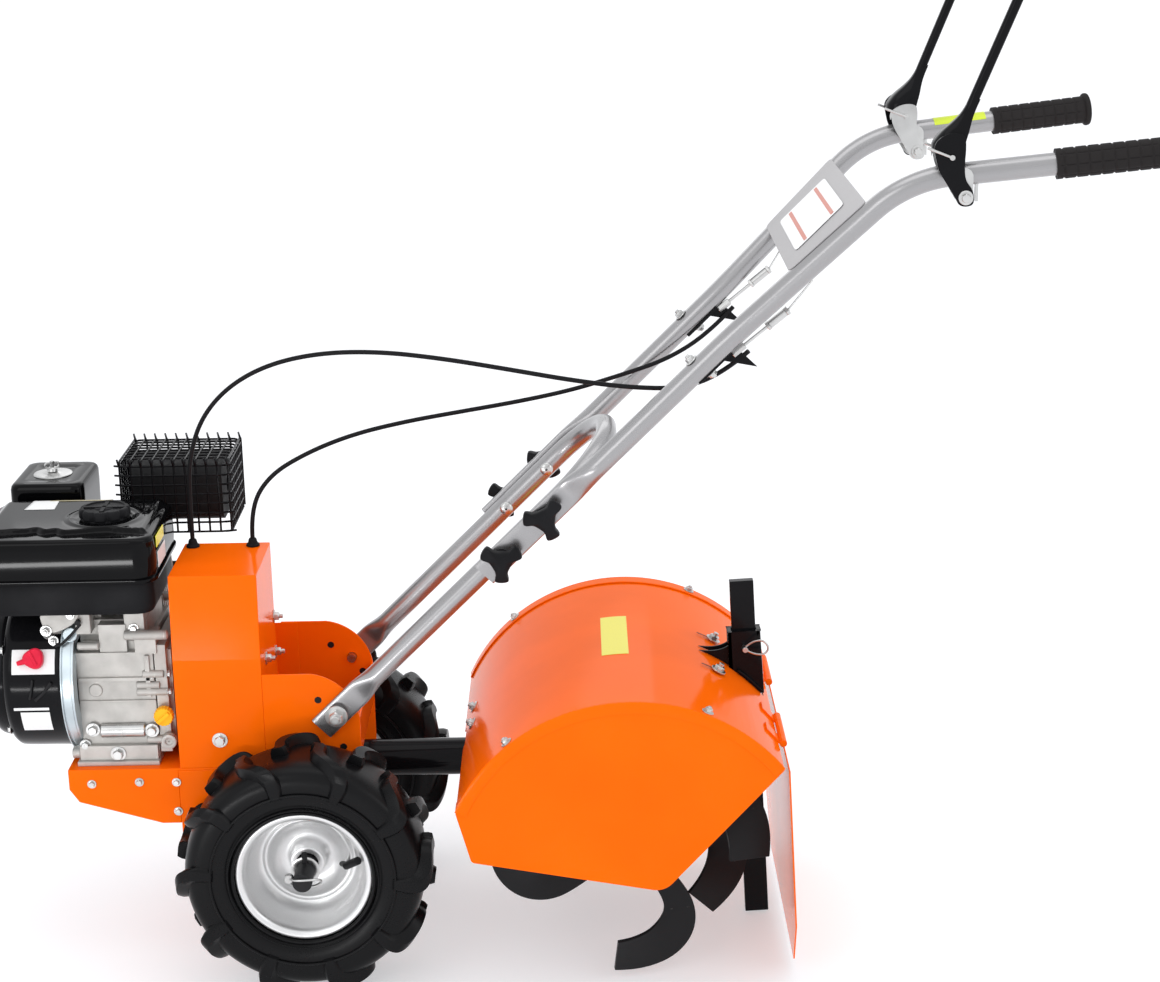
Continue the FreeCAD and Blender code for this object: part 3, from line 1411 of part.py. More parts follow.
def make_guard(stay):
    """Wire guard open underneath, carried by a stay on the muffler."""
    x0, x1 = GUARD_REAR, GUARD_FRONT
    y0, y1 = GUARD_FAR_SIDE, GUARD_SIDE
    z0, z1 = GUARD_TOP - GUARD_HEIGHT, GUARD_TOP
    long, wide, tall = Vector(x1 - x0, 0, 0), Vector(0, y1 - y0, 0), Vector(0, 0, z1 - z0)
    panels = [
        grid(Vector(x0, y0, z0), tall, long, GUARD_ROWS, GUARD_COLUMNS),
        grid(Vector(x0, y1, z0), long, tall, GUARD_COLUMNS, GUARD_ROWS),
        grid(Vector(x0, y0, z0), wide, tall, GUARD_FILES, GUARD_ROWS),
        grid(Vector(x1, y0, z0), tall, wide, GUARD_ROWS, GUARD_FILES),
        grid(Vector(x0, y0, z1), wide, long, GUARD_FILES, GUARD_COLUMNS),
    ]
    return fused(panels + [stay])


def make_exhaust(cylinder):
    """Muffler on its pipe from the cylinder head, inside a wire guard."""
    low = GUARD_TOP - GUARD_HEIGHT
    gap = MUFFLER_GAP
    x0, x1 = GUARD_REAR + gap, GUARD_FRONT - gap
    y0, y1 = GUARD_FAR_SIDE + gap, GUARD_SIDE - gap
    z0, z1 = low + gap, GUARD_TOP - gap
    body = box(x0, x1, y0, y1, z0, z1)
    body = body.makeFillet(MUFFLER_ROUND, [e for e in body.Edges if abs(e.tangentAt(0).x) > 0.9])
    wall = COVER_SHEET
    room = box(x0 + wall, x1 - wall, y0 + wall, y1 - wall, z0 + wall, z1 - wall)
    rounded = [e for e in room.Edges if abs(e.tangentAt(0).x) > 0.9]
    room = room.makeFillet(MUFFLER_ROUND - wall, rounded)
    foot = Vector(EXHAUST_X, EXHAUST_SIDE, BED_TOP + EXHAUST_BASE)
    pipe = rod(foot, Vector(EXHAUST_X, EXHAUST_SIDE, z0 + wall), EXHAUST_RADIUS)
    outlet = Vector(x0, (y0 + y1) / 2, (z0 + z1) / 2)
    hole = rod(outlet - Vector(wall, 0, 0), outlet + Vector(2 * wall, 0, 0), EXHAUST_RADIUS)
    muffler = fused([body.cut(room).cut(hole), pipe]).cut(cylinder)

    half = MUFFLER_STAY / 2
    x, z = (x0 + x1) / 2, (z0 + z1) / 2
    stay = box(x - half, x + half, GUARD_FAR_SIDE, y0 - SEAT_GAP, z - half, z + half)
    return {"muffler": muffler, "muffler_guard": make_guard(stay)}


def make_engine():
    """Single-cylinder petrol engine, crankshaft fore and aft, starter in front."""
    pieces = make_crankcase()
    cylinder = make_cylinder()
    for block in tuple(pieces.values()):
        cylinder = cylinder.cut(block)
    pieces["cylinder"] = cylinder
    pieces.update(make_fan())
    pieces.update(make_tank())
    pieces.update(make_intake())
    pieces.update(make_exhaust(cylinder))
    return pieces


# --------------------------------------------------------------------- export
def all_pieces():
    """Every sub-part by name, with the origin under the middle of the machine."""
    pieces = {}
    makers = (
        make_wheels,
        make_chassis,
        make_belt_cover,
        make_drive,
        make_rotor,
        make_shield,
        make_flap,
        make_stake,
        make_handles,
        make_levers,
        make_cables,
        make_engine,
    )
    for maker in makers:
        pieces.update(maker())
    bounds = Part.makeCompound(list(pieces.values())).BoundBox
    shift = Vector(-(bounds.XMin + bounds.XMax) / 2, 0, 0)
    for shape in pieces.values():
        shape.translate(shift)
    return pieces, shift


def main():
    """Write one STEP file for each sub-part."""
    os.makedirs("parts", exist_ok=True)
    pieces, shift = all_pieces()
    for name, shape in pieces.items():
        shape.exportStep("parts/" + name + ".step")
        if not shape.isValid():
            print(name, "is not valid")
    print(len(pieces), "sub-parts; the origin lies", round(-shift.x, 2), "mm from the axle along X")


if __name__ == "__main__":
    main()
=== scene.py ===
"""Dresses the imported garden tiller: finishes, fine shapes, small fittings and cables.

Lengths are machine millimetres unless a name says otherwise: X forward from the wheel
axle, Y to the left-hand side and Z up from the floor.  metres() carries them into the
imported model's frame.
"""

import json
import math

import bmesh
import bpy
import numpy as np
from mathutils import Matrix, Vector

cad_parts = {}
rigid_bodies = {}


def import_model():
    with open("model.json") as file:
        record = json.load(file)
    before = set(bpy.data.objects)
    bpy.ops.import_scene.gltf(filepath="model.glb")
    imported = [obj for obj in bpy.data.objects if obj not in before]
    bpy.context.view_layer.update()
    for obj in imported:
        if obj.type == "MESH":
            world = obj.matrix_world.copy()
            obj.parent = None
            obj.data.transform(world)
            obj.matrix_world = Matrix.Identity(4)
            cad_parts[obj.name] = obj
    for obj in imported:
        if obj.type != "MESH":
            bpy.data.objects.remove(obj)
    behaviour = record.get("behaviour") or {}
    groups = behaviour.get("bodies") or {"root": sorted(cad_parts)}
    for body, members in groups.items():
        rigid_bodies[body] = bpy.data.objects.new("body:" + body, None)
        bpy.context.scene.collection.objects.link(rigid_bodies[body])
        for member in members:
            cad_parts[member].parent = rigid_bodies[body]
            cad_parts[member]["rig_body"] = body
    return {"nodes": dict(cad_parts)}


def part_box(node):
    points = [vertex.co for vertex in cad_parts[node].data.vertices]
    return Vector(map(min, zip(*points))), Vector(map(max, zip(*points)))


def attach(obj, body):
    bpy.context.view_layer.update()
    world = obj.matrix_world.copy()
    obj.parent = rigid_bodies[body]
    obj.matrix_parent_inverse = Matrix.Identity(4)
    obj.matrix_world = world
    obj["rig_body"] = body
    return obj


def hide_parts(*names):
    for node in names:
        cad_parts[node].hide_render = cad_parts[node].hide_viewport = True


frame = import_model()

bl_info = {
    "name": "Garden Tiller",
    "version": (1, 0, 0),
    "blender": (4, 5, 0),
    "location": "3D View > Sidebar > Tiller",
    "description": "Dresses the packed garden tiller with its finishes and fine parts",
    "category": "Object",
}

AXLE_X = sum(corner.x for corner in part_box("rim_left")) / 2
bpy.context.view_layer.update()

# Driving places, the same as in the part's source
AXLE_Z = 167.5
BED_TOP = 274.0
CRANK_Z = 380.0
ROTOR = (-418.0, 0.0, 195.0)
SHIELD = (-421.0, 168.0)
SHIELD_RADIUS = 242.0
HANDLE_BOLT = (-41.5, 350.0)
HANDLE_ANGLE = math.radians(44.3)
TUBE = 13.5
LOWER_SIDE = 102.0
UPPER_FLAT_SIDE = 115.5
LEVER_PIVOT_DROP = 25.0
PLATE_FACE = 102.0
TYRE_CENTRE = 169.0
CASTING_FACE = 78.0
TANK_LOW, TANK_HIGH = (182.0, -66.0), (418.0, 112.0)
TANK_TOP = 593.0

# Camera: its place, how far it looks down and leans, and its focal length in frame widths
CAMERA_PLACE = (-362.6, 2769.2, 1442.9)
PITCH, ROLL = math.radians(16.66), math.radians(1.02)
FOCAL_RATIO = 2200 / 1160
SENSOR_WIDTH = 36.0
SKY_COLOUR = (0.97, 0.98, 1.0, 1.0)

MERGE = 2e-6  # metres within which two points become one
MIRROR = np.array([1.0, -1.0, 1.0])
SIDES = (("left", 1.0), ("right", MIRROR))


# ------------------------------------------------------------------- geometry
def metres(points):
    """Scale machine millimetres by a thousandth and move them along X by the axle's place."""
    return np.asarray(points, float) * 0.001 + np.array([AXLE_X, 0.0, 0.0])


def unit(vectors):
    """Vectors divided by their lengths."""
    vectors = np.asarray(vectors, float)
    return vectors / np.linalg.norm(vectors, axis=-1, keepdims=True)


def ramp(value, low, high):
    """Smooth step from 0 at low to 1 at high: 3t^2 - 2t^3."""
    t = np.clip((np.asarray(value, float) - low) / (high - low), 0.0, 1.0)
    return t * t * (3.0 - 2.0 * t)


def across(axis):
    """Two unit vectors square to an axis and to each other."""
    axis = unit(axis)
    helper = np.array([0.0, 0.0, 1.0]) if abs(axis[2]) < 0.9 else np.array([1.0, 0.0, 0.0])
    side = unit(np.cross(axis, helper))
    return side, np.cross(axis, side)


def facing(flat, axis):
    """Points of a flat figure laid square to an axis."""
    side, rise = across(axis)
    return side * flat[:, :1] + rise * flat[:, 1:]


def turn(points, pivot, axis, degrees):
    """Points turned about an axis through a pivot (Rodrigues' formula)."""
    p = np.asarray(points, float) - pivot
    k = unit(axis)
    a = math.radians(degrees)
    along = (p @ k)[..., None] * k
    return pivot + p * math.cos(a) + np.cross(k, p) * math.sin(a) + along * (1 - math.cos(a))


def grid(points, around=False, along=False):
    """Quads between neighbours of a (rows, columns, 3) grid, joined up around or along."""
    rows, columns = points.shape[:2]
    i = np.arange(rows if along else rows - 1)[:, None]
    j = np.arange(columns if around else columns - 1)[None, :]
    right = (j + 1) % columns
    below = (i + 1) % rows
    quads = np.stack(
        [i * columns + j, i * columns + right, below * columns + right, below * columns + j], -1
    )
    return points.reshape(-1, 3), quads.reshape(-1, 4).tolist()


def loft(rings, closed=False):
    """Skin through rings of as many points, capped at both ends unless it runs round."""
    points, faces = grid(rings, around=True, along=closed)
    if not closed:
        rows, columns = rings.shape[:2]
        faces.append(list(range(columns)))
        faces.append(list(range((rows - 1) * columns, rows * columns)))
    return points, faces


def circle(radius, sides=24):
    """Points round a centre in their own plane; the radius may be one for each point."""
    angle = np.linspace(0, 2 * np.pi, sides, endpoint=False)
    return np.stack([radius * np.cos(angle), radius * np.sin(angle)], -1)


def oval(half_width, half_height, power, sides=40):
    """Superellipse |cos|^power, |sin|^power: 1 is an ellipse, smaller is squarer.

    The three numbers may be arrays, one for each ring; then the result has a ring for each.
    """
    angle = np.linspace(0, 2 * np.pi, sides, endpoint=False)
    c, s = np.cos(angle), np.sin(angle)
    a, b, n = (np.asarray(v, float)[..., None] for v in (half_width, half_height, power))
    return np.stack([a * np.sign(c) * np.abs(c) ** n, b * np.sign(s) * np.abs(s) ** n], -1)


def carried(path, section, up=(0.0, 0.0, 1.0)):
    """Rings of a section (side, rise) along a path, side being tangent x up."""
    path = np.asarray(path, float)
    tangent = unit(np.gradient(path, axis=0))
    side = unit(np.cross(tangent, np.asarray(up, float)))
    rise = np.cross(side, tangent)
    section = np.asarray(section, float)
    if section.ndim == 2:
        section = np.broadcast_to(section, (len(path),) + section.shape)
    return path[:, None] + side[:, None] * section[..., :1] + rise[:, None] * section[..., 1:]


def pipe(path, radius, sides=20, up=(0.0, 0.0, 1.0), closed=False):
    """Round bar along a path; the radius may change from point to point."""
    radius = np.broadcast_to(np.asarray(radius, float), (len(path),))
    section = circle(1.0, sides)[None] * radius[:, None, None]
    return loft(carried(path, section, up), closed)


def bar(start, end, radius, sides=24, edge=0.4):
    """Round bar between two points with its end edges taken off."""
    start, end = np.asarray(start, float), np.asarray(end, float)
    step = unit(end - start) * edge
    spread = facing(circle(1.0, sides), end - start)
    stations = np.array([start, start + step, end - step, end])
    radii = np.array([radius - edge, radius, radius, radius - edge])
    return loft(stations[:, None] + spread[None] * radii[:, None, None])


def turned(profile, centre, axis, sides=64):
    """Closed profile of (distance along the axis, radius) turned about an axis."""
    profile = np.asarray(profile, float)
    spread = facing(circle(1.0, sides), axis)
    heights = np.asarray(centre, float) + unit(axis) * profile[:, :1]
    return grid(heights[:, None] + spread[None] * profile[:, 1][:, None, None], True, True)


def rounded(profile, times=2, closed=True):
    """Corners of a profile cut at quarter points, again and again (Chaikin)."""
    profile = np.asarray(profile, float)
    for _ in range(times):
        after = np.roll(profile, -1, axis=0)
        cut = np.stack([0.75 * profile + 0.25 * after, 0.25 * profile + 0.75 * after], 1)
        if closed:
            profile = cut.reshape(-1, profile.shape[1])
        else:
            inner = cut[:-1].reshape(-1, profile.shape[1])
            profile = np.concatenate([profile[:1], inner, profile[-1:]])
    return profile


def block(low, high):
    """Box between two corners."""
    x, y, z = np.meshgrid(*zip(low, high), indexing="ij")
    points = np.stack([x, y, z], -1).reshape(-1, 3).astype(float)
    return points, [[0, 1, 3, 2], [4, 6, 7, 5], [0, 4, 5, 1], [2, 3, 7, 6], [0, 2, 6, 4], [1, 5, 7, 3]]


def slab(outline, thickness):
    """Plate: an outline in space and its copy moved by a vector, joined round the edge."""
    outline = np.asarray(outline, float)
    return loft(np.stack([outline, outline + np.asarray(thickness, float)]))


def upright_plate(outline, side, thickness):
    """Plate standing fore and aft: an (x, z) outline at a side, thickened along Y."""
    return slab(np.insert(np.asarray(outline, float), 1, side, axis=1), (0, thickness, 0))


def domed(outline, seat, way, levels):
    """Skin through copies of a flat outline, each moved and scaled by its (height, scale)."""
    heights, scales = np.array(levels, float).T[..., None, None]
    return loft(seat + np.asarray(way, float) * heights + outline * scales)


def bent(points, radii, step=4.0):
    """Line of straight runs with a tangent arc at each inner corner, sampled every step."""
    points = np.asarray(points, float)
    parts = [points[:1]]
    for index, radius in enumerate(radii, 1):
        corner = points[index]
        before, after = unit(points[index - 1] - corner), unit(points[index + 1] - corner)
        half = math.acos(float(before @ after)) / 2
        reach = radius / math.tan(half)
        centre = corner + unit(before + after) * radius / math.sin(half)
        first, last = corner + before * reach - centre, corner + after * reach - centre
        sweep = math.pi - 2 * half
        t = np.linspace(0, 1, max(4, int(radius * sweep / step)))[:, None]
        arc = (first * np.sin((1 - t) * sweep) + last * np.sin(t * sweep)) / math.sin(sweep)
        parts.append(centre + arc)
    parts.append(points[-1:])
    line = np.concatenate(parts)
    length = np.concatenate([[0], np.cumsum(np.linalg.norm(np.diff(line, axis=0), axis=1))])
    even = np.linspace(0, length[-1], int(length[-1] / step))
    return np.stack([np.interp(even, length, line[:, k]) for k in range(3)], -1)


def on_side(surfaces, sign):
    """The left side's surfaces as they are (1) or mirrored in the centre plane (MIRROR)."""
    return [(points * sign, faces) for points, faces in surfaces]


def both_sides(surfaces):
    """The surfaces and their mirror images in the centre plane."""
    return surfaces + on_side(surfaces, MIRROR)


def hex_ring(across_flats, sides=24):
    """Hexagon sampled evenly in angle: apothem / cos of the angle within its sixth."""
    angle = np.linspace(0, 2 * np.pi, sides, endpoint=False)
    return circle(across_flats / 2 / np.cos((angle + np.pi / 6) % (np.pi / 3) - np.pi / 6), sides)


def bolt(place, axis, size=10.0, height=5.0, washer=1.4, stud=0.0):
    """Hexagon head or nut on a washer, its top edge turned round, with a stud if asked."""
    axis = unit(axis)
    place = np.asarray(place, float)
    hexagon, disc = hex_ring(size), circle(size / 2 * 0.93, 24)
    levels = [(hexagon, 0.0), (hexagon, 0.82), (disc, 1.0)]
    base = place + axis * washer
    rings = [base + axis * height * share + facing(figure, axis) for figure, share in levels]
    result = [loft(np.stack(rings))]
    if washer:
        result.append(bar(place, place + axis * washer, size * 0.86, 24, 0.3))
    if stud:
        top = base + axis * height
        result.append(bar(top - axis, top + axis * stud, size * 0.3, 16, 0.5))
    return result


def joined(surfaces):
    """One list of points and faces out of several surfaces."""
    starts = np.cumsum([0] + [len(points) for points, _ in surfaces])
    points = np.concatenate([points for points, _ in surfaces])
    faces = [
        [index + int(start) for index in face]
        for start, (_, part) in zip(starts, surfaces)
        for face in part
    ]
    return points, faces


# --------------------------------------------------------------------- pieces
def finish_mesh(name, work, finish, body, stands_for, edge, angle, thickness=0.0):
    """Turn a working mesh into a piece: outward faces, soft shading, rounded edges."""
    mesh = bpy.data.meshes.new(name)
    work.to_mesh(mesh)
    work.free()
    mesh.polygons.foreach_set("use_smooth", np.ones(len(mesh.polygons), bool))
    mesh.set_sharp_from_angle(angle=math.radians(angle))
    mesh.materials.append(bpy.data.materials["look_" + finish])
    piece = bpy.data.objects.new(name, mesh)
    bpy.context.scene.collection.objects.link(piece)
    if thickness:
        wall = piece.modifiers.new("Wall", "SOLIDIFY")
        wall.thickness = thickness * 0.001
        wall.offset = 0.0
    if edge:
        rounding = piece.modifiers.new("Edges", "BEVEL")
        rounding.width = edge * 0.001
        rounding.segments = 2
        rounding.limit_method = "ANGLE"
        rounding.angle_limit = math.radians(40)
        rounding.harden_normals = True
    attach(piece, body)
    if stands_for:
        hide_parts(*stands_for)
    return piece


def add_piece(
    name,
    surfaces,
    finish,
    body="chassis",
    stands_for=(),
    edge=0.0,
    angle=35.0,
    thickness=0.0,
):
    """Piece out of surfaces in machine millimetres; touching points are merged."""
    points, faces = joined(surfaces)
    raw = bpy.data.meshes.new(name + ".raw")
    raw.from_pydata(metres(points).tolist(), [], faces)
    work = bmesh.new()
    work.from_mesh(raw)
    bpy.data.meshes.remove(raw)
    bmesh.ops.remove_doubles(work, verts=work.verts, dist=MERGE)
    bmesh.ops.dissolve_degenerate(work, edges=work.edges, dist=1e-7)
    bmesh.ops.recalc_face_normals(work, faces=work.faces)
    return finish_mesh(name, work, finish, body, stands_for, edge, angle, thickness)


def soften(node, finish, edge=0.8, angle=30.0):
    """Copy of a solid with its corners merged and its edges rounded, in the solid's place."""
    source = frame["nodes"][node]
    work = bmesh.new()
    work.from_mesh(source.data)
    bmesh.ops.remove_doubles(work, verts=work.verts, dist=MERGE)
    flat = math.radians(0.4)
    bmesh.ops.dissolve_limit(work, angle_limit=flat, verts=work.verts, edges=work.edges)
    body = source["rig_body"]
    return finish_mesh(node + "_skin", work, finish, body, [node], edge, angle)


def dress(finish, *nodes):
    """Give solids whose shape is right a finish of the scene's own."""
    for node in nodes:
        materials = frame["nodes"][node].data.materials
        materials.clear()
        materials.append(bpy.data.materials["look_" + finish])


# ------------------------------------------------------------------- finishes
class Value:
    """Output socket whose arithmetic adds Math nodes to the tree."""

    def __init__(self, tree, socket):
        self.tree = tree
        self.socket = socket

    def math(self, operation, *others):
        node = self.tree.node("ShaderNodeMath", {"operation": operation})
        for index, value in enumerate((self,) + others):
            self.tree.plug(node.inputs[index], value)
        return Value(self.tree, node.outputs[0])

    def __add__(self, other):
        return self.math("ADD", other)

    def __sub__(self, other):
        return self.math("SUBTRACT", other)

    def __mul__(self, other):
        return self.math("MULTIPLY", other)

    __radd__ = __add__
    __rmul__ = __mul__

    def spread(self, low, high):
        """0 at low, 1 at high, held outside."""
        node = self.tree.node("ShaderNodeMapRange", {"clamp": True})
        self.tree.plug(node.inputs["Value"], self)
        node.inputs["From Min"].default_value = low
        node.inputs["From Max"].default_value = high
        return Value(self.tree, node.outputs["Result"])


class Finish:
    """Material with a Principled shader whose patterns read Object coordinates."""

    def __init__(self, name, **constants):
        self.material = bpy.data.materials.new("look_" + name)
        self.material.use_nodes = True
        self.nodes = self.material.node_tree.nodes
        self.nodes.clear()
        output = self.node("ShaderNodeOutputMaterial")
        self.shader = self.node("ShaderNodeBsdfPrincipled")
        self.material.node_tree.links.new(self.shader.outputs[0], output.inputs["Surface"])
        place = self.node("ShaderNodeTexCoord")
        self.place = Value(self, place.outputs["Object"])
        for socket, value in constants.items():
            self.shader.inputs[socket.replace("_", " ")].default_value = value

    def node(self, kind, settings=None, **sockets):
        """A node of a type, its settings first and then its sockets' values or links."""
        made = self.nodes.new(kind)
        for key, value in (settings or {}).items():
            setattr(made, key, value)
        for key, value in sockets.items():
            self.plug(made.inputs[key.replace("_", " ")], value)
        return made

    def plug(self, socket, value):
        """Link a Value to a socket, or set the socket to a number or colour."""
        if isinstance(value, Value):
            self.material.node_tree.links.new(value.socket, socket)
        else:
            socket.default_value = value

    def noise(self, scale, detail, stretch=None):
        """Cloudy pattern, scale in repeats a metre, squeezed by three numbers if asked."""
        vector = self.place
        if stretch:
            mapping = self.node("ShaderNodeMapping", Vector=vector, Scale=stretch)
            vector = Value(self, mapping.outputs[0])
        node = self.node("ShaderNodeTexNoise", Vector=vector, Scale=scale, Detail=detail)
        return Value(self, node.outputs[0])

    def cells(self, scale):
        """Cell pattern, scale in cells a metre."""
        node = self.node("ShaderNodeTexVoronoi", Vector=self.place, Scale=scale)
        return Value(self, node.outputs["Distance"])

    def blend(self, factor, first, second):
        """Colour from first to second by a factor."""
        node = self.node("ShaderNodeMix", {"data_type": "RGBA"})
        self.plug(node.inputs[0], factor)
        for index, colour in ((6, first), (7, second)):
            self.plug(node.inputs[index], colour if isinstance(colour, Value) else (*colour, 1.0))
        return Value(self, node.outputs[2])

    def relief(self, height, depth, strength):
        """Raise the surface by a height pattern; depth is in metres."""
        node = self.node("ShaderNodeBump", Height=height, Distance=depth, Strength=strength)
        self.plug(self.shader.inputs["Normal"], Value(self, node.outputs[0]))

    def feed(self, **sockets):
        """Send patterns to the shader's sockets."""
        for key, value in sockets.items():
            self.plug(self.shader.inputs[key.replace("_", " ")], value)


def shade(colour, factor):
    """Colour made darker or lighter by a factor."""
    return tuple(min(1.0, channel * factor) for channel in colour)


def gloss_paint(name, colour, roughness, shine, dust):
    """Stoved gloss paint: faint orange peel, slow shifts of tone and a trace of dust."""
    finish = Finish(name, Specular_IOR_Level=shine)
    cloud = finish.noise(7.0, 3.0)
    speck = finish.noise(160.0, 4.0)
    veil = cloud.spread(0.42, 0.75) * speck.spread(0.45, 0.7)
    tone = finish.blend(cloud.spread(0.3, 0.7), shade(colour, 0.93), shade(colour, 1.05))
    finish.feed(
        Base_Color=finish.blend(veil * dust * 0.25, tone, (0.55, 0.5, 0.45)),
        Roughness=roughness + veil * dust * 0.5 + cloud * 0.05,
    )
    finish.relief(finish.noise(160.0, 1.0), 0.0001, 0.04)


def plated(name, colour, roughness, grain):
    """Zinc-plated metal: fine grain and patches of duller skin."""
    finish = Finish(name, Metallic=1.0)
    lines = finish.noise(grain, 3.0)
    patch = finish.noise(22.0, 4.0)
    finish.feed(
        Base_Color=finish.blend(patch.spread(0.35, 0.7), shade(colour, 0.82), shade(colour, 1.06)),
        Roughness=roughness + lines * 0.14 + patch.spread(0.45, 0.8) * 0.12,
    )
    finish.relief(lines, 0.00005, 0.3)


def silver_paint(name, colour, roughness):
    """Metallic silver lacquer: fine flakes under a clear coat."""
    finish = Finish(name, Coat_Weight=0.35, Coat_Roughness=0.12)
    flake = finish.cells(2400.0)
    cloud = finish.noise(9.0, 3.0)
    tone = finish.blend(flake.spread(0.1, 0.6), shade(colour, 1.08), shade(colour, 0.86))
    finish.feed(
        Base_Color=finish.blend(cloud * 0.2, tone, shade(colour, 0.8)),
        Roughness=roughness + flake * 0.12 + cloud * 0.05,
        Metallic=0.82 + cloud.spread(0.4, 0.6) * 0.1,
    )
    finish.relief(finish.noise(500.0, 1.0), 0.00008, 0.08)


def cast_metal(name, colour, metallic, roughness):
    """Cast skin: fine pebble grain, darker specks and stains."""
    finish = Finish(name, Metallic=metallic, Specular_IOR_Level=0.3)
    pebble = finish.noise(1300.0, 4.0)
    stain = finish.noise(45.0, 5.0)
    tone = finish.blend(stain.spread(0.3, 0.75), shade(colour, 1.04), shade(colour, 0.88))
    finish.feed(
        Base_Color=finish.blend(pebble.spread(0.55, 0.75) * 0.2, tone, shade(colour, 0.6)),
        Roughness=roughness + pebble * 0.2 + stain.spread(0.4, 0.7) * 0.1,
    )
    finish.relief(pebble + finish.noise(240.0, 2.0) * 0.6, 0.0003, 0.5)


def moulded(name, colour, roughness=0.42, grain=1500.0, depth=0.00012):
    """Moulded plastic: leathery micro grain with rubbed, shinier patches."""
    finish = Finish(name, Specular_IOR_Level=0.06)
    skin = finish.cells(grain)
    rub = finish.noise(18.0, 3.0)
    finish.feed(
        Base_Color=finish.blend(rub.spread(0.35, 0.7), colour, shade(colour, 1.5)),
        Roughness=roughness + skin * 0.15 - rub.spread(0.45, 0.7) * 0.1,
    )
    finish.relief(skin, depth, 0.1)


def rubber(name, colour, roughness, grain, bloom, shine=0.08):
    """Moulded rubber: soft sheen, fine pores and a greyish bloom in places."""
    finish = Finish(name, Specular_IOR_Level=shine)
    pores = finish.noise(grain, 4.0)
    cloud = finish.noise(14.0, 4.0)
    grey = shade(colour, 1.8)
    finish.feed(
        Base_Color=finish.blend(cloud.spread(0.42, 0.78) * bloom, colour, grey),
        Roughness=roughness + pores * 0.16 + cloud.spread(0.4, 0.7) * 0.08,
    )
    finish.relief(pores, 0.0002, 0.08)


def worn_black(name, colour, bare):
    """Black enamel on steel, lightly scuffed towards bare metal in thin streaks."""
    finish = Finish(name, Specular_IOR_Level=0.1)
    streak = finish.noise(60.0, 6.0, (1.0, 0.35, 2.4))
    fine = finish.noise(900.0, 3.0)
    scuff = streak.spread(0.7, 0.8) * fine.spread(0.5, 0.65) * 0.5
    finish.feed(
        Base_Color=finish.blend(scuff, colour, bare),
        Roughness=0.3 + streak.spread(0.3, 0.7) * 0.22,
        Metallic=scuff * 0.9,
    )
    finish.relief(fine + streak, 0.00012, 0.1)


def printed(name, colour):
    """Printed film: even colour with the faintest mottle under a smooth face."""
    finish = Finish(name, Coat_Weight=0.25, Coat_Roughness=0.15)
    mottle = finish.noise(300.0, 3.0)
    finish.feed(
        Base_Color=finish.blend(mottle.spread(0.3, 0.7), shade(colour, 0.96), colour),
        Roughness=0.35 + mottle * 0.08,
    )
    finish.relief(finish.noise(150.0, 2.0), 0.00005, 0.2)


def colour_property(name, description, default):
    """Colour of a finish, as the sidebar shows it."""
    return bpy.props.FloatVectorProperty(
        name=name,
        description=description,
        subtype="COLOR",
        size=3,
        min=0.0,
        max=1.0,
        default=default,
    )


class TillerColours(bpy.types.PropertyGroup):
    """Colours of the paints, metals, rubbers and films."""

    orange: colour_property("Orange", "Gloss paint of the sheet metal", (0.95, 0.135, 0.002))
    black: colour_property("Black", "Gloss paint of tubes and fan housing", (0.006, 0.006, 0.007))
    tank: colour_property("Tank", "Enamel of the fuel tank", (0.0016, 0.0016, 0.002))
    silver: colour_property("Silver", "Lacquer of the handlebars", (0.40, 0.395, 0.40))
    rim: colour_property("Rim", "Lacquer of the wheel rims", (0.816, 0.816, 0.816))
    zinc: colour_property("Zinc", "Plated bolts and clips", (0.62, 0.62, 0.61))
    pale_zinc: colour_property("Pale zinc", "Blue-white plated brackets", (0.62, 0.70, 0.74))
    cast: colour_property("Cast", "Die-cast engine parts", (0.50, 0.485, 0.46))
    iron: colour_property("Iron", "Black painted castings", (0.010, 0.010, 0.011))
    plastic: colour_property("Plastic", "Moulded black plastic", (0.010, 0.010, 0.011))
    tyre: colour_property("Tyre", "Tyre rubber", (0.004, 0.004, 0.0045))
    grip: colour_property("Grip", "Hand grip rubber", (0.020, 0.018, 0.018))
    blade: colour_property("Blade", "Enamel of the tines", (0.014, 0.014, 0.015))
    console: colour_property("Console", "Satin grey of the console plate", (0.31, 0.30, 0.305))
    yellow: colour_property("Yellow", "Oil filler cap", (0.95, 0.42, 0.02))
    red: colour_property("Red", "Engine switch", (0.62, 0.02, 0.05))
    film_white: colour_property("White film", "Blank stickers", (0.82, 0.82, 0.82))
    film_yellow: colour_property("Yellow film", "Blank yellow labels", (0.80, 0.72, 0.02))
    film_lime: colour_property("Lime film", "Blank strip on the tube", (0.62, 0.75, 0.02))
    film_orange: colour_property("Orange film", "Bars on the console label", (0.52, 0.09, 0.035))
    film_beige: colour_property("Beige film", "Blank strip on the tank", (0.42, 0.36, 0.20))
    floor: colour_property("Floor", "Pale studio floor", (0.62, 0.62, 0.63))


def length_property(name, description, default):
    """Size in millimetres, as the sidebar shows it."""
    return bpy.props.FloatProperty(name=name, description=description, default=default, min=0.0)


class TillerSizes(bpy.types.PropertyGroup):
    """Sizes of the visual detail, in millimetres where they are lengths."""

    sheet_edge: length_property("Sheet edge", "Rounding of folded sheet edges, mm", 0.9)
    cast_edge: length_property("Cast edge", "Rounding of cast edges, mm", 1.6)
    cable: length_property("Cable", "Outside diameter of the control cables, mm", 6.0)
    guard_wire: length_property("Guard wire", "Radius of the muffler guard's wires, mm", 1.5)
    lugs: bpy.props.IntProperty(
        name="Lugs", description="Tread lugs on each side of a tyre", default=10, min=4
    )
    light: bpy.props.FloatProperty(
        name="Softbox power", description="Power of the softboxes", default=12.0, unit="POWER"
    )
    sky: bpy.props.FloatProperty(name="Sky", description="Strength of the even light", default=1.03)


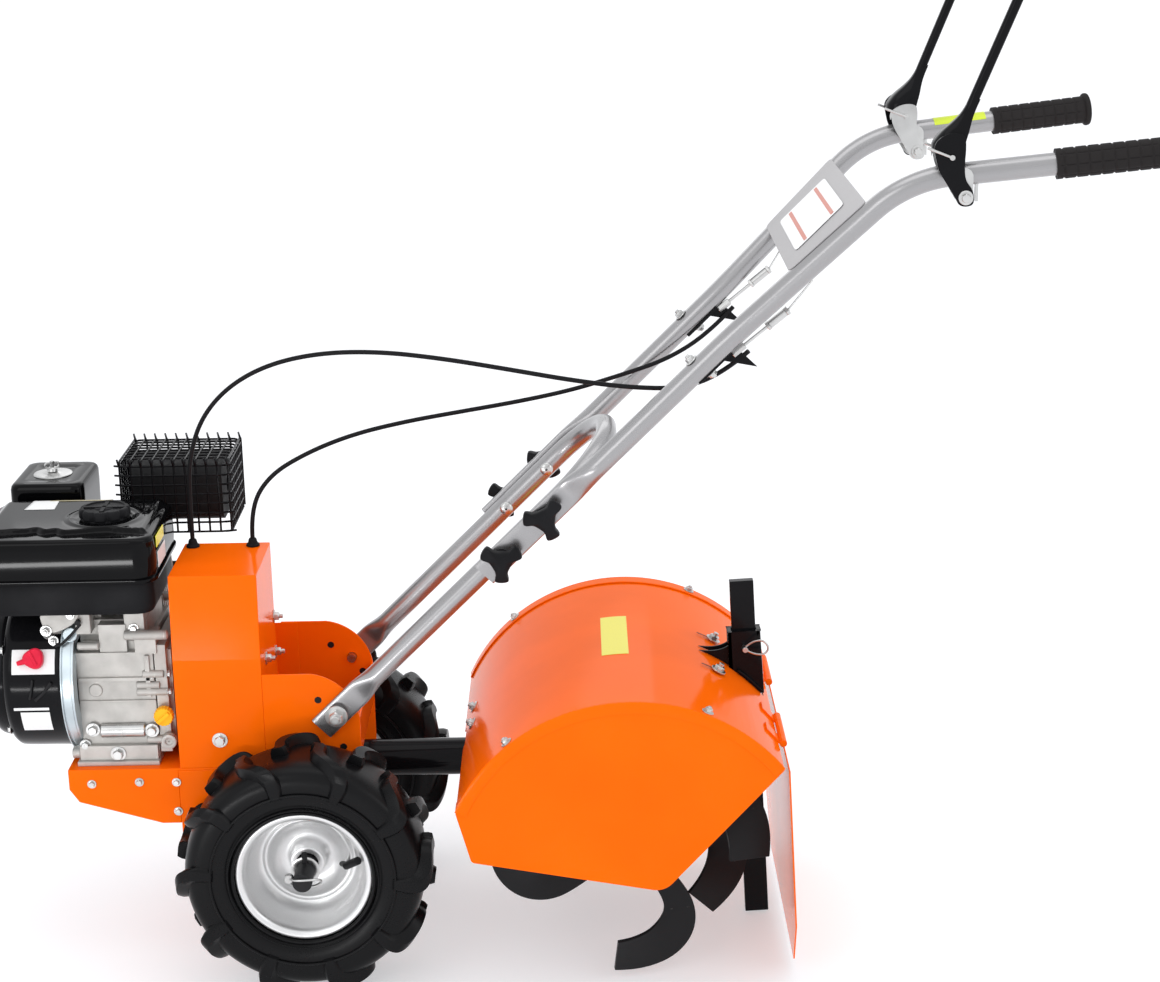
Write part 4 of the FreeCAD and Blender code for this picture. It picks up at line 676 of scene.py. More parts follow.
def say(operator):
    """Tell Blender that an operator's piece is made."""
    operator.report({"INFO"}, operator.bl_label + " done")
    return {"FINISHED"}


def stand(name, data, right, up, place):
    """Object for a camera or lamp that looks against right x up from its place."""
    stood = bpy.data.objects.new(name, data)
    axes = np.column_stack([right, up, np.cross(right, up), place])
    stood.matrix_world = Matrix(np.vstack([axes, [0, 0, 0, 1]]).tolist())
    bpy.context.scene.collection.objects.link(stood)
    return stood


class TILLER_OT_stage(bpy.types.Operator):
    """Pale floor, soft studio light and the camera"""

    bl_idname = "tiller.stage"
    bl_label = "Stage"

    def execute(self, context):
        scene = context.scene
        sizes = scene.tiller_sizes
        scene.view_settings.view_transform = "Standard"
        level_right = np.array([-1.0, 0.0, 0.0])
        level_up = np.array([0.0, -math.sin(PITCH), math.cos(PITCH)])
        right = math.cos(ROLL) * level_right - math.sin(ROLL) * level_up
        up = math.sin(ROLL) * level_right + math.cos(ROLL) * level_up
        camera = bpy.data.cameras.new("camera")
        camera.sensor_width = SENSOR_WIDTH
        camera.lens = SENSOR_WIDTH * FOCAL_RATIO
        camera.clip_end = 200.0
        scene.camera = stand("camera", camera, right, up, metres(CAMERA_PLACE))

        floor = bpy.data.meshes.new("floor")
        reach = 40.0
        corners = [(-reach, -reach, 0), (reach, -reach, 0), (reach, reach, 0), (-reach, reach, 0)]
        floor.from_pydata(corners, [], [(0, 1, 2, 3)])
        paper = Finish("studio_floor", Emission_Color=SKY_COLOUR, Emission_Strength=0.45)
        fleck = paper.noise(3.0, 2.0)
        colour = tuple(scene.tiller_colours.floor)
        paper.feed(
            Base_Color=paper.blend(fleck, shade(colour, 0.985), colour),
            Roughness=0.75 + fleck * 0.1,
        )
        floor.materials.append(paper.material)
        ground = bpy.data.objects.new("floor", floor)
        scene.collection.objects.link(ground)

        world = bpy.data.worlds.new("studio")
        world.use_nodes = True
        sky = world.node_tree.nodes["Background"]
        sky.inputs["Color"].default_value = SKY_COLOUR
        sky.inputs["Strength"].default_value = sizes.sky
        scene.world = world
        softboxes = (
            ("softbox_top", (0.0, 0.4, 3.2), (0.0, 0.0, 0.4), (2.6, 1.6), 1.0),
            ("softbox_front", (1.7, 2.6, 1.9), (0.1, 0.0, 0.4), (1.2, 1.6), 0.75),
            ("softbox_rear", (-2.3, 1.7, 1.7), (-0.2, 0.0, 0.4), (0.9, 1.6), 0.55),
            ("softbox_back", (0.4, -2.6, 2.0), (0.0, 0.0, 0.5), (2.0, 1.2), 0.5),
            ("softbox_low", (1.08, 1.8, 0.0), (0.6, 0.1, 0.5), (0.8, 0.16), 0.9),
        )
        for name, place, target, size, share in softboxes:
            lamp = bpy.data.lights.new(name, "AREA")
            lamp.shape = "RECTANGLE"
            lamp.size, lamp.size_y = size
            lamp.energy = sizes.light * share
            back = unit(np.subtract(place, target))
            side = unit(np.cross((0, 0, 1), back))
            stand(name, lamp, side, np.cross(back, side), place)
        return say(self)


class TILLER_OT_finishes(bpy.types.Operator):
    """Materials for every paint, metal, rubber, plastic and film"""

    bl_idname = "tiller.finishes"
    bl_label = "Finishes"

    def execute(self, context):
        tint = {
            key: tuple(getattr(context.scene.tiller_colours, key))
            for key in TillerColours.__annotations__
        }
        gloss_paint("orange_gloss", tint["orange"], 0.1, 0.045, 0.02)
        gloss_paint("black_gloss", tint["black"], 0.1, 0.1, 0.02)
        gloss_paint("tank_enamel", tint["tank"], 0.04, 0.13, 0.01)
        silver_paint("tube_silver", tint["silver"], 0.2)
        silver_paint("rim_silver", tint["rim"], 0.26)
        plated("zinc_plate", tint["zinc"], 0.22, 900.0)
        plated("pale_zinc", tint["pale_zinc"], 0.3, 300.0)
        cast_metal("cast_alloy", tint["cast"], 0.55, 0.4)
        cast_metal("cast_iron", tint["iron"], 0.2, 0.4)
        moulded("black_plastic", tint["plastic"])
        moulded("yellow_plastic", tint["yellow"], 0.3, 1200.0, 0.00005)
        moulded("red_plastic", tint["red"], 0.25, 1200.0, 0.00005)
        rubber("tyre_rubber", tint["tyre"], 0.2, 500.0, 0.05, 0.14)
        rubber("grip_rubber", tint["grip"], 0.5, 1400.0, 0.3)
        rubber("cable_sheath", tint["plastic"], 0.28, 900.0, 0.1)
        worn_black("tine_enamel", tint["blade"], (0.35, 0.33, 0.31))
        gloss_paint("console_satin", tint["console"], 0.34, 0.5, 0.1)
        for film in ("film_white", "film_yellow", "film_lime", "film_orange", "film_beige"):
            printed(film, tint[film])
        return say(self)


# --------------------------------------------------------------------- cables
DRIVE_ROUTE = (
    (155.9, -30.0, 548.0),
    (155.9, -30.0, 604.0),
    (151.0, -17.0, 660.0),
    (131.0, -4.0, 718.0),
    (92.0, 8.0, 764.0),
    (36.0, 22.0, 797.0),
    (-34.0, 38.0, 815.0),
    (-112.0, 54.0, 819.0),
    (-194.0, 70.0, 812.0),
    (-276.0, 84.0, 800.0),
    (-356.0, 95.0, 787.0),
    (-430.0, 102.0, 778.0),
    (-495.0, 106.0, 777.0),
    (-544.0, 121.0, 801.0),
    (-572.8, 132.0, 829.3),
)
ROTOR_ROUTE = (
    (75.8, -30.0, 548.0),
    (75.8, -30.0, 590.0),
    (49.0, -31.0, 634.0),
    (-2.0, -36.0, 663.0),
    (-62.0, -47.0, 684.0),
    (-132.0, -60.0, 697.0),
    (-206.0, -73.0, 706.0),
    (-282.0, -86.0, 715.0),
    (-354.0, -96.0, 727.0),
    (-420.0, -102.0, 745.0),
    (-484.0, -106.0, 765.0),
    (-540.0, -121.0, 797.0),
    (-572.8, -132.0, 829.3),
)


def add_cable(name, route, diameter):
    """Control cable on one smooth curve through its route's control points."""
    points = metres(route)
    curve = bpy.data.curves.new(name, "CURVE")
    curve.dimensions = "3D"
    spline = curve.splines.new("NURBS")
    spline.points.add(len(points) - 1)
    spline.points.foreach_set("co", np.column_stack([points, np.ones(len(points))]).ravel())
    spline.order_u = 3
    spline.use_endpoint_u = True
    spline.resolution_u = 10
    curve.bevel_depth = diameter / 2
    curve.bevel_resolution = 4
    curve.use_fill_caps = True
    curve.materials.append(bpy.data.materials["look_cable_sheath"])
    cable = bpy.data.objects.new(name + "_sheath", curve)
    bpy.context.scene.collection.objects.link(cable)
    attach(cable, "chassis")
    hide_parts(name)


class TILLER_OT_cables(bpy.types.Operator):
    """The two control cables from the belt cover to the handlebars, and their grommets"""

    bl_idname = "tiller.cables"
    bl_label = "Control cables"

    def execute(self, context):
        diameter = context.scene.tiller_sizes.cable * 0.001
        add_cable("cable_drive", DRIVE_ROUTE, diameter)
        add_cable("cable_rotor", ROTOR_ROUTE, diameter)
        profile = rounded([(0, 3.2), (0, 9), (3, 9), (4, 6.6), (10, 5.2), (11, 4.2), (11, 3.2)], 1)
        collars = [
            turned(profile, np.subtract(route[0], (0, 0, 11)), (0, 0, 1), 32)
            for route in (DRIVE_ROUTE, ROTOR_ROUTE)
        ]
        add_piece("cable_collars", collars, "black_plastic",
                  stands_for=["cable_grommets"])
        return say(self)


# --------------------------------------------------------------------- wheels
def tyre_surfaces(lugs):
    """Carcass, sidewall rings and chevron lugs of the left tyre.

    The carcass section is a superellipse waisted towards the beads and turned about the
    axle.  A lug's stations run from the mid plane over the shoulder and down the sidewall;
    each carries a chamfered bar section, set round the tyre in two staggered rows.
    """
    t = np.linspace(0, 2 * np.pi, 60, endpoint=False)
    c, s = np.cos(t), np.sin(t)
    half = 53.5 - 9.0 * ((1 - s) / 2) ** 1.6
    side = half * np.sign(c) * np.abs(c) ** 0.5
    radius = 118.8 + 36.2 * np.sign(s) * np.abs(s) ** 0.72
    centre = (0.0, TYRE_CENTRE, AXLE_Z)
    surfaces = [turned(np.stack([side, radius], -1), centre, (0, 1, 0), 120)]
    for ring, height, place in ((91.0, 2.6, 45.0), (118.5, 1.6, 52.6), (96.5, 1.0, 49.4)):
        for sign in (1, -1):
            bead = circle(height, 10) + np.array([sign * place, ring])
            surfaces.append(turned(bead, centre, (0, 1, 0), 120))

    controls = [
        (-6.0, 167.4, -6.0, 150.0, 17.0),
        (18.0, 167.4, 18.0, 150.0, 17.0),
        (40.0, 166.5, 38.0, 148.0, 19.0),
        (52.0, 160.0, 46.0, 141.0, 21.0),
        (55.8, 146.0, 47.0, 130.0, 20.0),
        (55.4, 128.0, 46.0, 116.0, 17.0),
        (54.6, 117.0, 45.0, 112.0, 14.0),
    ]
    out_side, out_radius, in_side, in_radius, width = rounded(controls, 3, False).T[..., None]
    section = np.array(
        [(-1.22, 0.0), (-1.04, 0.7), (-0.74, 1.0), (0.74, 1.0), (1.04, 0.7), (1.22, 0.0)]
    )
    height = section[:, 1]
    side = in_side + (out_side - in_side) * height
    radius = in_radius + (out_radius - in_radius) * height
    slant = 40.0 / 56.0 / AXLE_Z
    bow = -0.10 * np.sin(np.clip(out_side, 0, 56) / 56 * np.pi)
    angle = slant * out_side + bow + section[:, 0] * width / 2 / radius
    step = np.pi / lugs
    for index in range(2 * lugs):
        sign = 1 if index % 2 else -1
        a = angle + math.radians(9.0) + index * step
        points = np.stack(
            [radius * np.cos(a), TYRE_CENTRE + sign * side, AXLE_Z + radius * np.sin(a)], -1
        )
        surfaces.append(loft(points))
    return surfaces


def rim_surfaces():
    """Pressed rim: rolled flanges, sloping barrel, a raised ring and the bowl round the hub."""
    profile = [
        (37.5, 86.2), (38.5, 88.0), (41.2, 87.6), (42.0, 84.0), (39.5, 79.5), (36.0, 77.2),
        (29.0, 75.4), (10.0, 75.0), (-2.0, 72.5), (-9.0, 68.0), (-13.5, 62.5), (-14.0, 59.5),
        (-11.0, 57.2), (-10.0, 55.5), (-11.5, 52.5), (-17.0, 48.8), (-22.0, 43.0), (-25.0, 36.0),
        (-26.0, 30.0), (-24.5, 25.5), (-20.0, 23.2), (0.0, 22.4), (1.0, 21.0), (1.0, 12.6),
        (-41.0, 12.6), (-41.0, 22.0), (-30.0, 22.6), (-29.5, 30.0), (-28.4, 36.5), (-25.5, 44.5),
        (-20.5, 51.0), (-14.6, 54.4), (-14.6, 56.0), (-17.4, 58.4), (-17.2, 63.5), (-12.0, 70.2),
        (-8.0, 74.8),
        (-34.0, 75.2), (-38.5, 79.5), (-42.0, 84.0), (-41.2, 87.6), (-38.5, 88.0),
        (-37.5, 86.2), (-35.5, 80.0), (-30.0, 78.2), (30.0, 78.2), (35.5, 80.0),
    ]
    return [turned(rounded(profile, 1), (0, TYRE_CENTRE, AXLE_Z), (0, 1, 0), 112)]


class TILLER_OT_wheels(bpy.types.Operator):
    """Lugged tyres, pressed rims, valve stems and the lynch pins on the axle ends"""

    bl_idname = "tiller.wheels"
    bl_label = "Wheels"

    def execute(self, context):
        tyre = tyre_surfaces(context.scene.tiller_sizes.lugs)
        rim = rim_surfaces()
        stem = [
            bar((-43.0, 154.0, 158.0), (-58.0, 197.0, 177.5), 3.6),
            bar((-52.0, 187.0, 171.0), (-71.0, 211.0, 190.0), 5.3, 20, 0.9),
        ]
        wire = rounded([(18, 218, 170), (10, 229.5, 172), (-8, 230, 173), (-22, 222, 170),
                        (-24, 216, 163), (-14, 214, 156), (8, 214, 155), (17, 216, 161)], 3)
        washer = rounded([(0, 12.7), (0, 19), (2.2, 19), (2.2, 12.7)], 1)
        clip = [
            pipe(wire, 1.6, 10, (0, 1, 0), True),
            bar((18.0, 213.0, AXLE_Z + 2.0), (18.0, 222.0, AXLE_Z + 2.0), 6.0, 24, 1.0),
            turned(washer, (0, 190.2, AXLE_Z), (0, 1, 0), 40),
        ]
        for side, sign in SIDES:
            body = "wheel_" + side
            add_piece("tyre_tread_" + side, on_side(tyre, sign), "tyre_rubber",
                      body, ["tyre_" + side], angle=38)
            add_piece("rim_pressing_" + side, on_side(rim, sign), "rim_silver",
                      body, ["rim_" + side], angle=40)
            add_piece("valve_stem_" + side, on_side(stem, sign), "cable_sheath",
                      body)
            add_piece("lynch_pin_" + side, on_side(clip, sign), "zinc_plate", body)
            dress("cast_iron", "half_axle_" + side)
        return say(self)


# -------------------------------------------------------------------- chassis
class TILLER_OT_chassis(bpy.types.Operator):
    """Folded engine bed, side plates, belt cover and the bolts that hold them"""

    bl_idname = "tiller.chassis"
    bl_label = "Chassis"

    def execute(self, context):
        edge = context.scene.tiller_sizes.sheet_edge
        for node in ("engine_bed", "side_plate_left", "side_plate_right", "cross_plate"):
            soften(node, "orange_gloss", edge)
        soften("belt_cover", "orange_gloss", 2.4)
        heads = []
        for x, z, size in ((114.2, 313.4, 12.0), (286.6, 254.1, 7.0), (223.9, 255.8, 7.0),
                           (175.1, 254.8, 7.0), (175.3, 213.2, 7.0)):
            heads += both_sides(bolt((x, PLATE_FACE, z), (0, 1, 0), size, size * 0.45))
        for side, z in ((53.0, 408.0), (-38.0, 383.0), (-38.0, 434.0)):
            heads += bolt((55.0, side, z), (-1, 0, 0), 10.0, 6.0, 1.4, 5.0)
        seat = (HANDLE_BOLT[0], PLATE_FACE + 15.0, HANDLE_BOLT[1])
        heads += both_sides(bolt(seat, (0, 1, 0), 17.0, 9.0, 2.2, 4.0))
        add_piece("chassis_bolts", heads, "zinc_plate")
        lap = block((32.0, -98.9, 292.0), (96.0, -97.3, 402.5))
        add_piece("plate_lap", [lap], "orange_gloss", edge=edge)
        # Thin black discs on the side plates' faces stand for the holes: painted shade where the holes
        # show only the dark inside.
        left, right = PLATE_FACE - 0.4, -99.3
        hole_shade = [
            bar((x, side, z), (x, side + 0.7, z), 4.6, 28, 0.1)
            for x, side, z in ((-16.8, left, 367.1), (-47.0, left, 301.0),
                               (-12.7, right, 368.1), (-55.4, right, 328.6))
        ]
        add_piece("plate_holes", hole_shade, "cast_iron")
        dress("zinc_plate", "handle_bolts")
        return say(self)


# ----------------------------------------------------------- drive and rotor
# Tine flanges: side, distance from the centre plane, turn of the first tine, tines
FLANGES = (
    (1, 82.0, -172.0, 3),
    (1, 166.0, -127.0, 4),
    (-1, 82.0, -67.0, 3),
    (-1, 166.0, -73.0, 4),
)


def tine_surface(plane, side, start):
    """One tine: a flat bar that runs out from its flange, hooks forward and bends sideways.

    Its centre line is given by radius, turn from the root and sideways drift, smoothed by
    corner cutting; the bar's width lies square to it in the wheel's plane and leans with
    the drift, so that the hooked end shows its broad face.
    """
    line = np.array([(26, 0, 0, 15, 0), (60, 0, 0, 15, 0), (95, 1, 0, 16, 0), (120, 4, 2, 20, 4),
                     (139, 11, 7, 25, 9), (150, 20, 14, 28, 14), (154, 31, 22, 29, 19),
                     (155, 44, 31, 28, 23)], float)
    radius, turned_by, drift, half, lean = rounded(line, 3, False).T
    a = np.radians(start + turned_by)
    centre = np.stack([ROTOR[0] + radius * np.cos(a), plane + side * drift,
                       ROTOR[2] + radius * np.sin(a)], -1)
    tangent = unit(np.gradient(centre, axis=0))
    across_way = unit(np.cross(tangent, (0.0, 1.0, 0.0)))
    tilt = np.radians(lean)[:, None]
    width = across_way * np.cos(tilt) + np.array([0.0, side, 0.0]) * np.sin(tilt)
    flat = unit(np.cross(tangent, width))
    corners = ((-1, -1), (-0.6, -1), (0.6, -1), (1, -1), (1, 1), (0.6, 1), (-0.6, 1), (-1, 1))
    rings = [centre + width * (half * u)[:, None] + flat * 2.6 * v for u, v in corners]
    return loft(np.stack(rings, 1))


class TILLER_OT_drive(bpy.types.Operator):
    """Gearboxes, transmission tube, rotor shaft and tines"""

    bl_idname = "tiller.drive"
    bl_label = "Drive and rotor"

    def execute(self, context):
        for node in ("wheel_gearbox", "rotor_gearbox"):
            soften(node, "cast_iron", context.scene.tiller_sizes.cast_edge)
        soften("transmission_tube", "black_gloss", 0.8)
        soften("rotor_shaft", "tine_enamel", 0.8)
        blades, heads = [], []
        for side, plane, phase, count in FLANGES:
            hub = np.array([ROTOR[0], side * plane, ROTOR[2]])
            blades.append(bar(hub - (0, 3, 0), hub + (0, 3, 0), 58.0, 72, 0.8))
            for index in range(count):
                start = phase + 360.0 / count * index
                blades.append(tine_surface(side * plane, side, start))
                a = math.radians(start)
                for radius in (36.0, 50.0):
                    place = hub + (math.cos(a) * radius, -side * 3.0, math.sin(a) * radius)
                    heads += bolt(place, (0, -side, 0), 11.0, 6.0, 0.0)
        add_piece("tine_set", blades, "tine_enamel", "rotor", ["tine_blades"],
                  edge=0.8, angle=40)
        add_piece("tine_bolts", heads, "zinc_plate", "rotor")
        screws = []
        for side in (1, -1):
            for x, z in ((-300, 270), (-340, 262), (-380, 258), (-300, 215), (-345, 190),
                         (-455, 225)):
                screws += bolt((x, side * 18.0, z), (0, side, 0), 9.0, 5.0, 1.0)
        for angle in range(30, 390, 60):
            a = math.radians(angle)
            for x, way in ((-56.0, -1), (-252.0, 1)):
                place = (x, 33.0 * math.cos(a), 241.0 + 33.0 * math.sin(a))
                screws += bolt(place, (way, 0, 0), 9.0, 5.0, 0.0)
        add_piece("gearbox_screws", screws, "zinc_plate")
        return say(self)


# --------------------------------------------------------------------- shield
def skin_point(degrees, side, lift=0.0):
    """Point on the shield's skin at an angle from +X towards +Z, and the normal there."""
    a = math.radians(degrees)
    normal = np.array([math.cos(a), 0.0, math.sin(a)])
    return np.array([SHIELD[0], side, SHIELD[1]]) + normal * (SHIELD_RADIUS + lift), normal


def skin_strip(low, high, section, steps=12):
    """Strip round the shield's axis between two angles; its section is in (radius, side)."""
    a = np.radians(np.linspace(low, high, steps))
    rings = [
        np.stack([SHIELD[0] + r * np.cos(a), np.full(steps, y), SHIELD[1] + r * np.sin(a)], -1)
        for r, y in section
    ]
    return loft(np.stack(rings, 1))


def skin_patch(low, high, side0, side1, lift, wall):
    """Closed curved plate on the skin between two angles and two sides."""
    inner, outer = SHIELD_RADIUS + lift, SHIELD_RADIUS + (lift + wall)
    return skin_strip(low, high, ((inner, side0), (inner, side1), (outer, side1), (outer, side0)))


class TILLER_OT_shield(bpy.types.Operator):
    """Tine shield with its rims, flange bolts, hinges, flap and blank label"""

    bl_idname = "tiller.shield"
    bl_label = "Tine shield"

    def execute(self, context):
        edge = context.scene.tiller_sizes.sheet_edge
        for node, width in (("shield_skin", edge), ("rear_flap", edge),
                            ("shield_side_left", edge * 2.4), ("shield_side_right", edge * 2.4)):
            soften(node, "orange_gloss", width, 25.0)
        dress("orange_gloss", "hinge_leaves")
        soften("shield_bracket", "orange_gloss", 1.0)
        heads = []
        for degrees in (50.5, 113.0):
            place, normal = skin_point(degrees, 229.0, 2.5)
            heads += both_sides(bolt(place, normal, 9.0, 4.5, 1.2, 2.0))
        for side in (-56.0, 3.0):
            place, normal = skin_point(30.0, side)
            heads += bolt(place, normal, 10.0, 5.0, 1.4, 3.0)
        add_piece("shield_bolts", heads, "zinc_plate")
        rolled = ((228.5, 238.6), (228.5, 240.0), (231.0, 240.8), (241.0, 240.8), (244.3, 239.4),
                  (244.3, 238.6))
        band = skin_strip(24.0, 141.8, rolled, 90)
        add_piece("shield_bands", both_sides([band]), "orange_gloss", angle=50)
        label = [skin_patch(82.0, 90.4, -78.0, 66.0, 0.15, 0.3)]
        add_piece("shield_label", label, "film_yellow")
        return say(self)


class TILLER_OT_stake(bpy.types.Operator):
    """Depth stake, its sleeve with gussets, slotted bolts and the spring clip"""

    bl_idname = "tiller.stake"
    bl_label = "Depth stake"

    def execute(self, context):
        foot, _ = skin_point(131.5, 0.0)

        def upright(low, high):
            """Block given about the stake's foot, leaning with it."""
            points, faces = block(low, high)
            return turn(points, (0, 0, 0), (0, 1, 0), 2.8) + foot, faces

        bar_low = 2.0 - foot[2]
        add_piece("stake_bar", [upright((-16, -6, bar_low), (16, 6, 138))], "black_gloss",
                  "stake", ["depth_stake"], edge=1.0)
        walls = [
            upright((x0, y0, -20), (x1, y1, 69))
            for x0, x1, y0, y1 in ((-22.3, 22.3, 6.4, 12.3), (-22.3, 22.3, -12.3, -6.4),
                                   (16.4, 22.3, -12.3, 12.3), (-22.3, -16.4, -12.3, 12.3))
        ]
        add_piece("stake_socket", walls, "black_gloss", stands_for=["stake_sleeve"],
                  edge=0.8)
        heads, slot_shade = [], []
        for side in (-58.0, 58.0):
            place, normal = skin_point(119.3, side, 2.5)
            heads += bolt(place, normal, 12.0, 5.0, 2.0, 4.0)
            slot_shade.append(skin_patch(113.6, 118.0, side - 1.4, side + 1.4, 2.4, 0.2))
        # Thin black strips beside the bolts stand for the slots: painted shade where the open slots show
        # only dark.
        add_piece("shield_slots", slot_shade, "cast_iron")
        lower = np.radians(np.linspace(127.5, 113.5, 14))
        skirt = np.stack([SHIELD[0] + 243.0 * np.cos(lower), SHIELD[1] + 243.0 * np.sin(lower)], -1)
        t = np.linspace(0.0, 1.0, 14)[1:, None]
        rise = skirt[-1] * (1 - t) ** 2 + np.array([-549.0, 386.0]) * 2 * t * (1 - t)
        rise = rise + np.array([-561.0, 400.0]) * t ** 2
        outline = np.concatenate([skirt, rise])
        gussets = [upright_plate(outline, side, 3.0) for side in (-12.0, 4.0)]
        gussets.append(skin_patch(127.0, 137.5, -18.0, 18.0, 2.6, 3.0))
        add_piece("stake_gussets", gussets, "black_gloss", edge=0.6)
        pin = np.array([-579.0, 0.0, 396.2])
        hoop = rounded([(-577, 17, 396), (-590, 24, 409), (-603, 27, 411), (-611, 28, 400),
                        (-604, 27, 390), (-590, 25, 391), (-579, 22, 396)], 3, False)
        heads.append(pipe(hoop, 1.5, 10, (0, 1, 0)))
        heads.append(bar(pin + (0, 12, 0), pin + (0, 25, 0), 3.8))
        add_piece("stake_fittings", heads, "zinc_plate")
        return say(self)


# ----------------------------------------------------------------- handlebars
def on_handle(reach, side, lift=0.0):
    """Point up the sloping handle line from its lower bolt, lifted square to the line."""
    reach, side, lift = np.broadcast_arrays(*(np.asarray(v, float) for v in (reach, side, lift)))
    x = HANDLE_BOLT[0] - reach * math.cos(HANDLE_ANGLE) + lift * math.sin(HANDLE_ANGLE)
    z = HANDLE_BOLT[1] + reach * math.sin(HANDLE_ANGLE) + lift * math.cos(HANDLE_ANGLE)
    return np.stack([x, side, z], -1)


def reach_of(points):
    """How far points lie up the handle line."""
    x, z = points[:, 0] - HANDLE_BOLT[0], points[:, 2] - HANDLE_BOLT[1]
    return -x * math.cos(HANDLE_ANGLE) + z * math.sin(HANDLE_ANGLE)


HANDLE_UP = np.array([math.sin(HANDLE_ANGLE), 0.0, math.cos(HANDLE_ANGLE)])
UPPER_CORNERS = (
    on_handle(276.0, 129.0),
    on_handle(722.0, 135.0),
    on_handle(996.0, 190.0),
    np.array([-1050.0, 208.0, 1075.0]),
)
KNOB_REACHES = (308.0, 386.0)


def pressed_tube(path, low, high, thinner, outwards):
    """Handle tube that is pressed flat below one reach and round above another.

    The flat part is thinner from side to side, a little taller, squarer, and moved outwards.
    """
    flat = 1 - ramp(reach_of(path), low, high)
    shift = np.sign(path[:, 1]) * outwards * flat
    section = oval(TUBE - thinner * flat, TUBE + 3.5 * flat, 1 - 0.62 * flat)
    return loft(carried(path + np.outer(shift, (0, 1, 0)), section, HANDLE_UP))


def lower_loop():
    """Lower handle: a tube loop whose two ends are pressed flat against the side plates."""
    corners = [
        on_handle(reach, side)
        for reach, side in ((-30, LOWER_SIDE), (498, LOWER_SIDE), (498, -LOWER_SIDE),
                            (-30, -LOWER_SIDE))
    ]
    return pressed_tube(bent(corners, [92.0, 92.0], 5.0), 38.0, 72.0, 9.5, 4.0)


def upper_tube():
    """Left upper handle: flattened against the lower loop, then a round tube to the grip."""
    return pressed_tube(bent(UPPER_CORNERS, [400.0, 150.0], 5.0), 424.0, 480.0, 8.5, -8.5)


def grip_surface():
    """Left grip: rounded blocks in rings and rows, with a flange at the free end.

    Radius = 16.7 + 1.3 x (block mask), where the mask is 1 inside blocks 14.5 mm long and
    an eighth of a turn wide and 0 in the grooves between them.
    """
    end = UPPER_CORNERS[3]
    along = unit(end - UPPER_CORNERS[2])
    distance = np.linspace(6.0, 131.0, 133)
    angle = np.linspace(0, 2 * np.pi, 96, endpoint=False)
    across_ring = np.abs(distance / 14.5 % 1.0 - 0.5)
    across_row = np.abs(angle * 8 / (2 * np.pi) % 1.0 - 0.5)
    mask = (1 - ramp(across_ring, 0.38, 0.47))[:, None] * (1 - ramp(across_row, 0.40, 0.47))
    inside = (ramp(distance, 9.0, 11.0) * (1 - ramp(distance, 121.0, 123.0)))[:, None]
    radius = 16.7 + 1.3 * np.maximum(mask, 1 - inside)
    start = end - along * 132.0
    centre = start + along * distance[:, None]
    skin = centre[:, None] + facing(circle(1.0, 96), along)[None] * radius[..., None]
    flange = [(129.0, 14.0), (129.0, 21.5), (135.5, 21.5), (137.0, 18.0), (137.0, 0.0), (129.0, 0.0)]
    return [loft(skin), turned(rounded(flange, 2), start, along, 48)]


def knob_surfaces():
    """Clamp knobs on the left side: a neck and a domed head with three flared arms.

    The outline has seven points to an arm and one in each hollow, corner-cut twice; rings of
    it, scaled, make the head's rounded faces.
    """
    arm = np.array([(15, -7), (25, -9.5), (27, -6), (27.6, 0), (27, 6), (25, 9.5), (15, 7)], float)
    along = on_handle(1.0, 0.0) - on_handle(0.0, 0.0)
    head = ((8.0, 0.86), (9.5, 0.95), (11.5, 1.0), (18.0, 1.0), (21.0, 0.95), (22.5, 0.86),
            (25.5, 0.5), (26.0, 0.3))
    neck = rounded([(0, 0), (0, 13), (8, 11), (9, 11), (9, 0)], 1)
    surfaces = []
    for reach, twist in zip(KNOB_REACHES, (-14.0, 11.0)):
        base = on_handle(reach, UPPER_FLAT_SIDE + 10.0)
        outline = []
        for index in range(3):
            a = math.radians(twist + 120.0 * index)
            c, s = math.cos(a), math.sin(a)
            outline.append(arm @ np.array([[c, s], [-s, c]]))
            valley = a + math.pi / 3
            outline.append(13.0 * np.array([[math.cos(valley), math.sin(valley)]]))
        outline = rounded(np.concatenate(outline), 2)
        flat = along * outline[:, :1] + HANDLE_UP * outline[:, 1:]
        surfaces.append(domed(flat, base, (0, 1, 0), head))
        surfaces.append(turned(neck, base, (0, 1, 0), 32))
    return surfaces


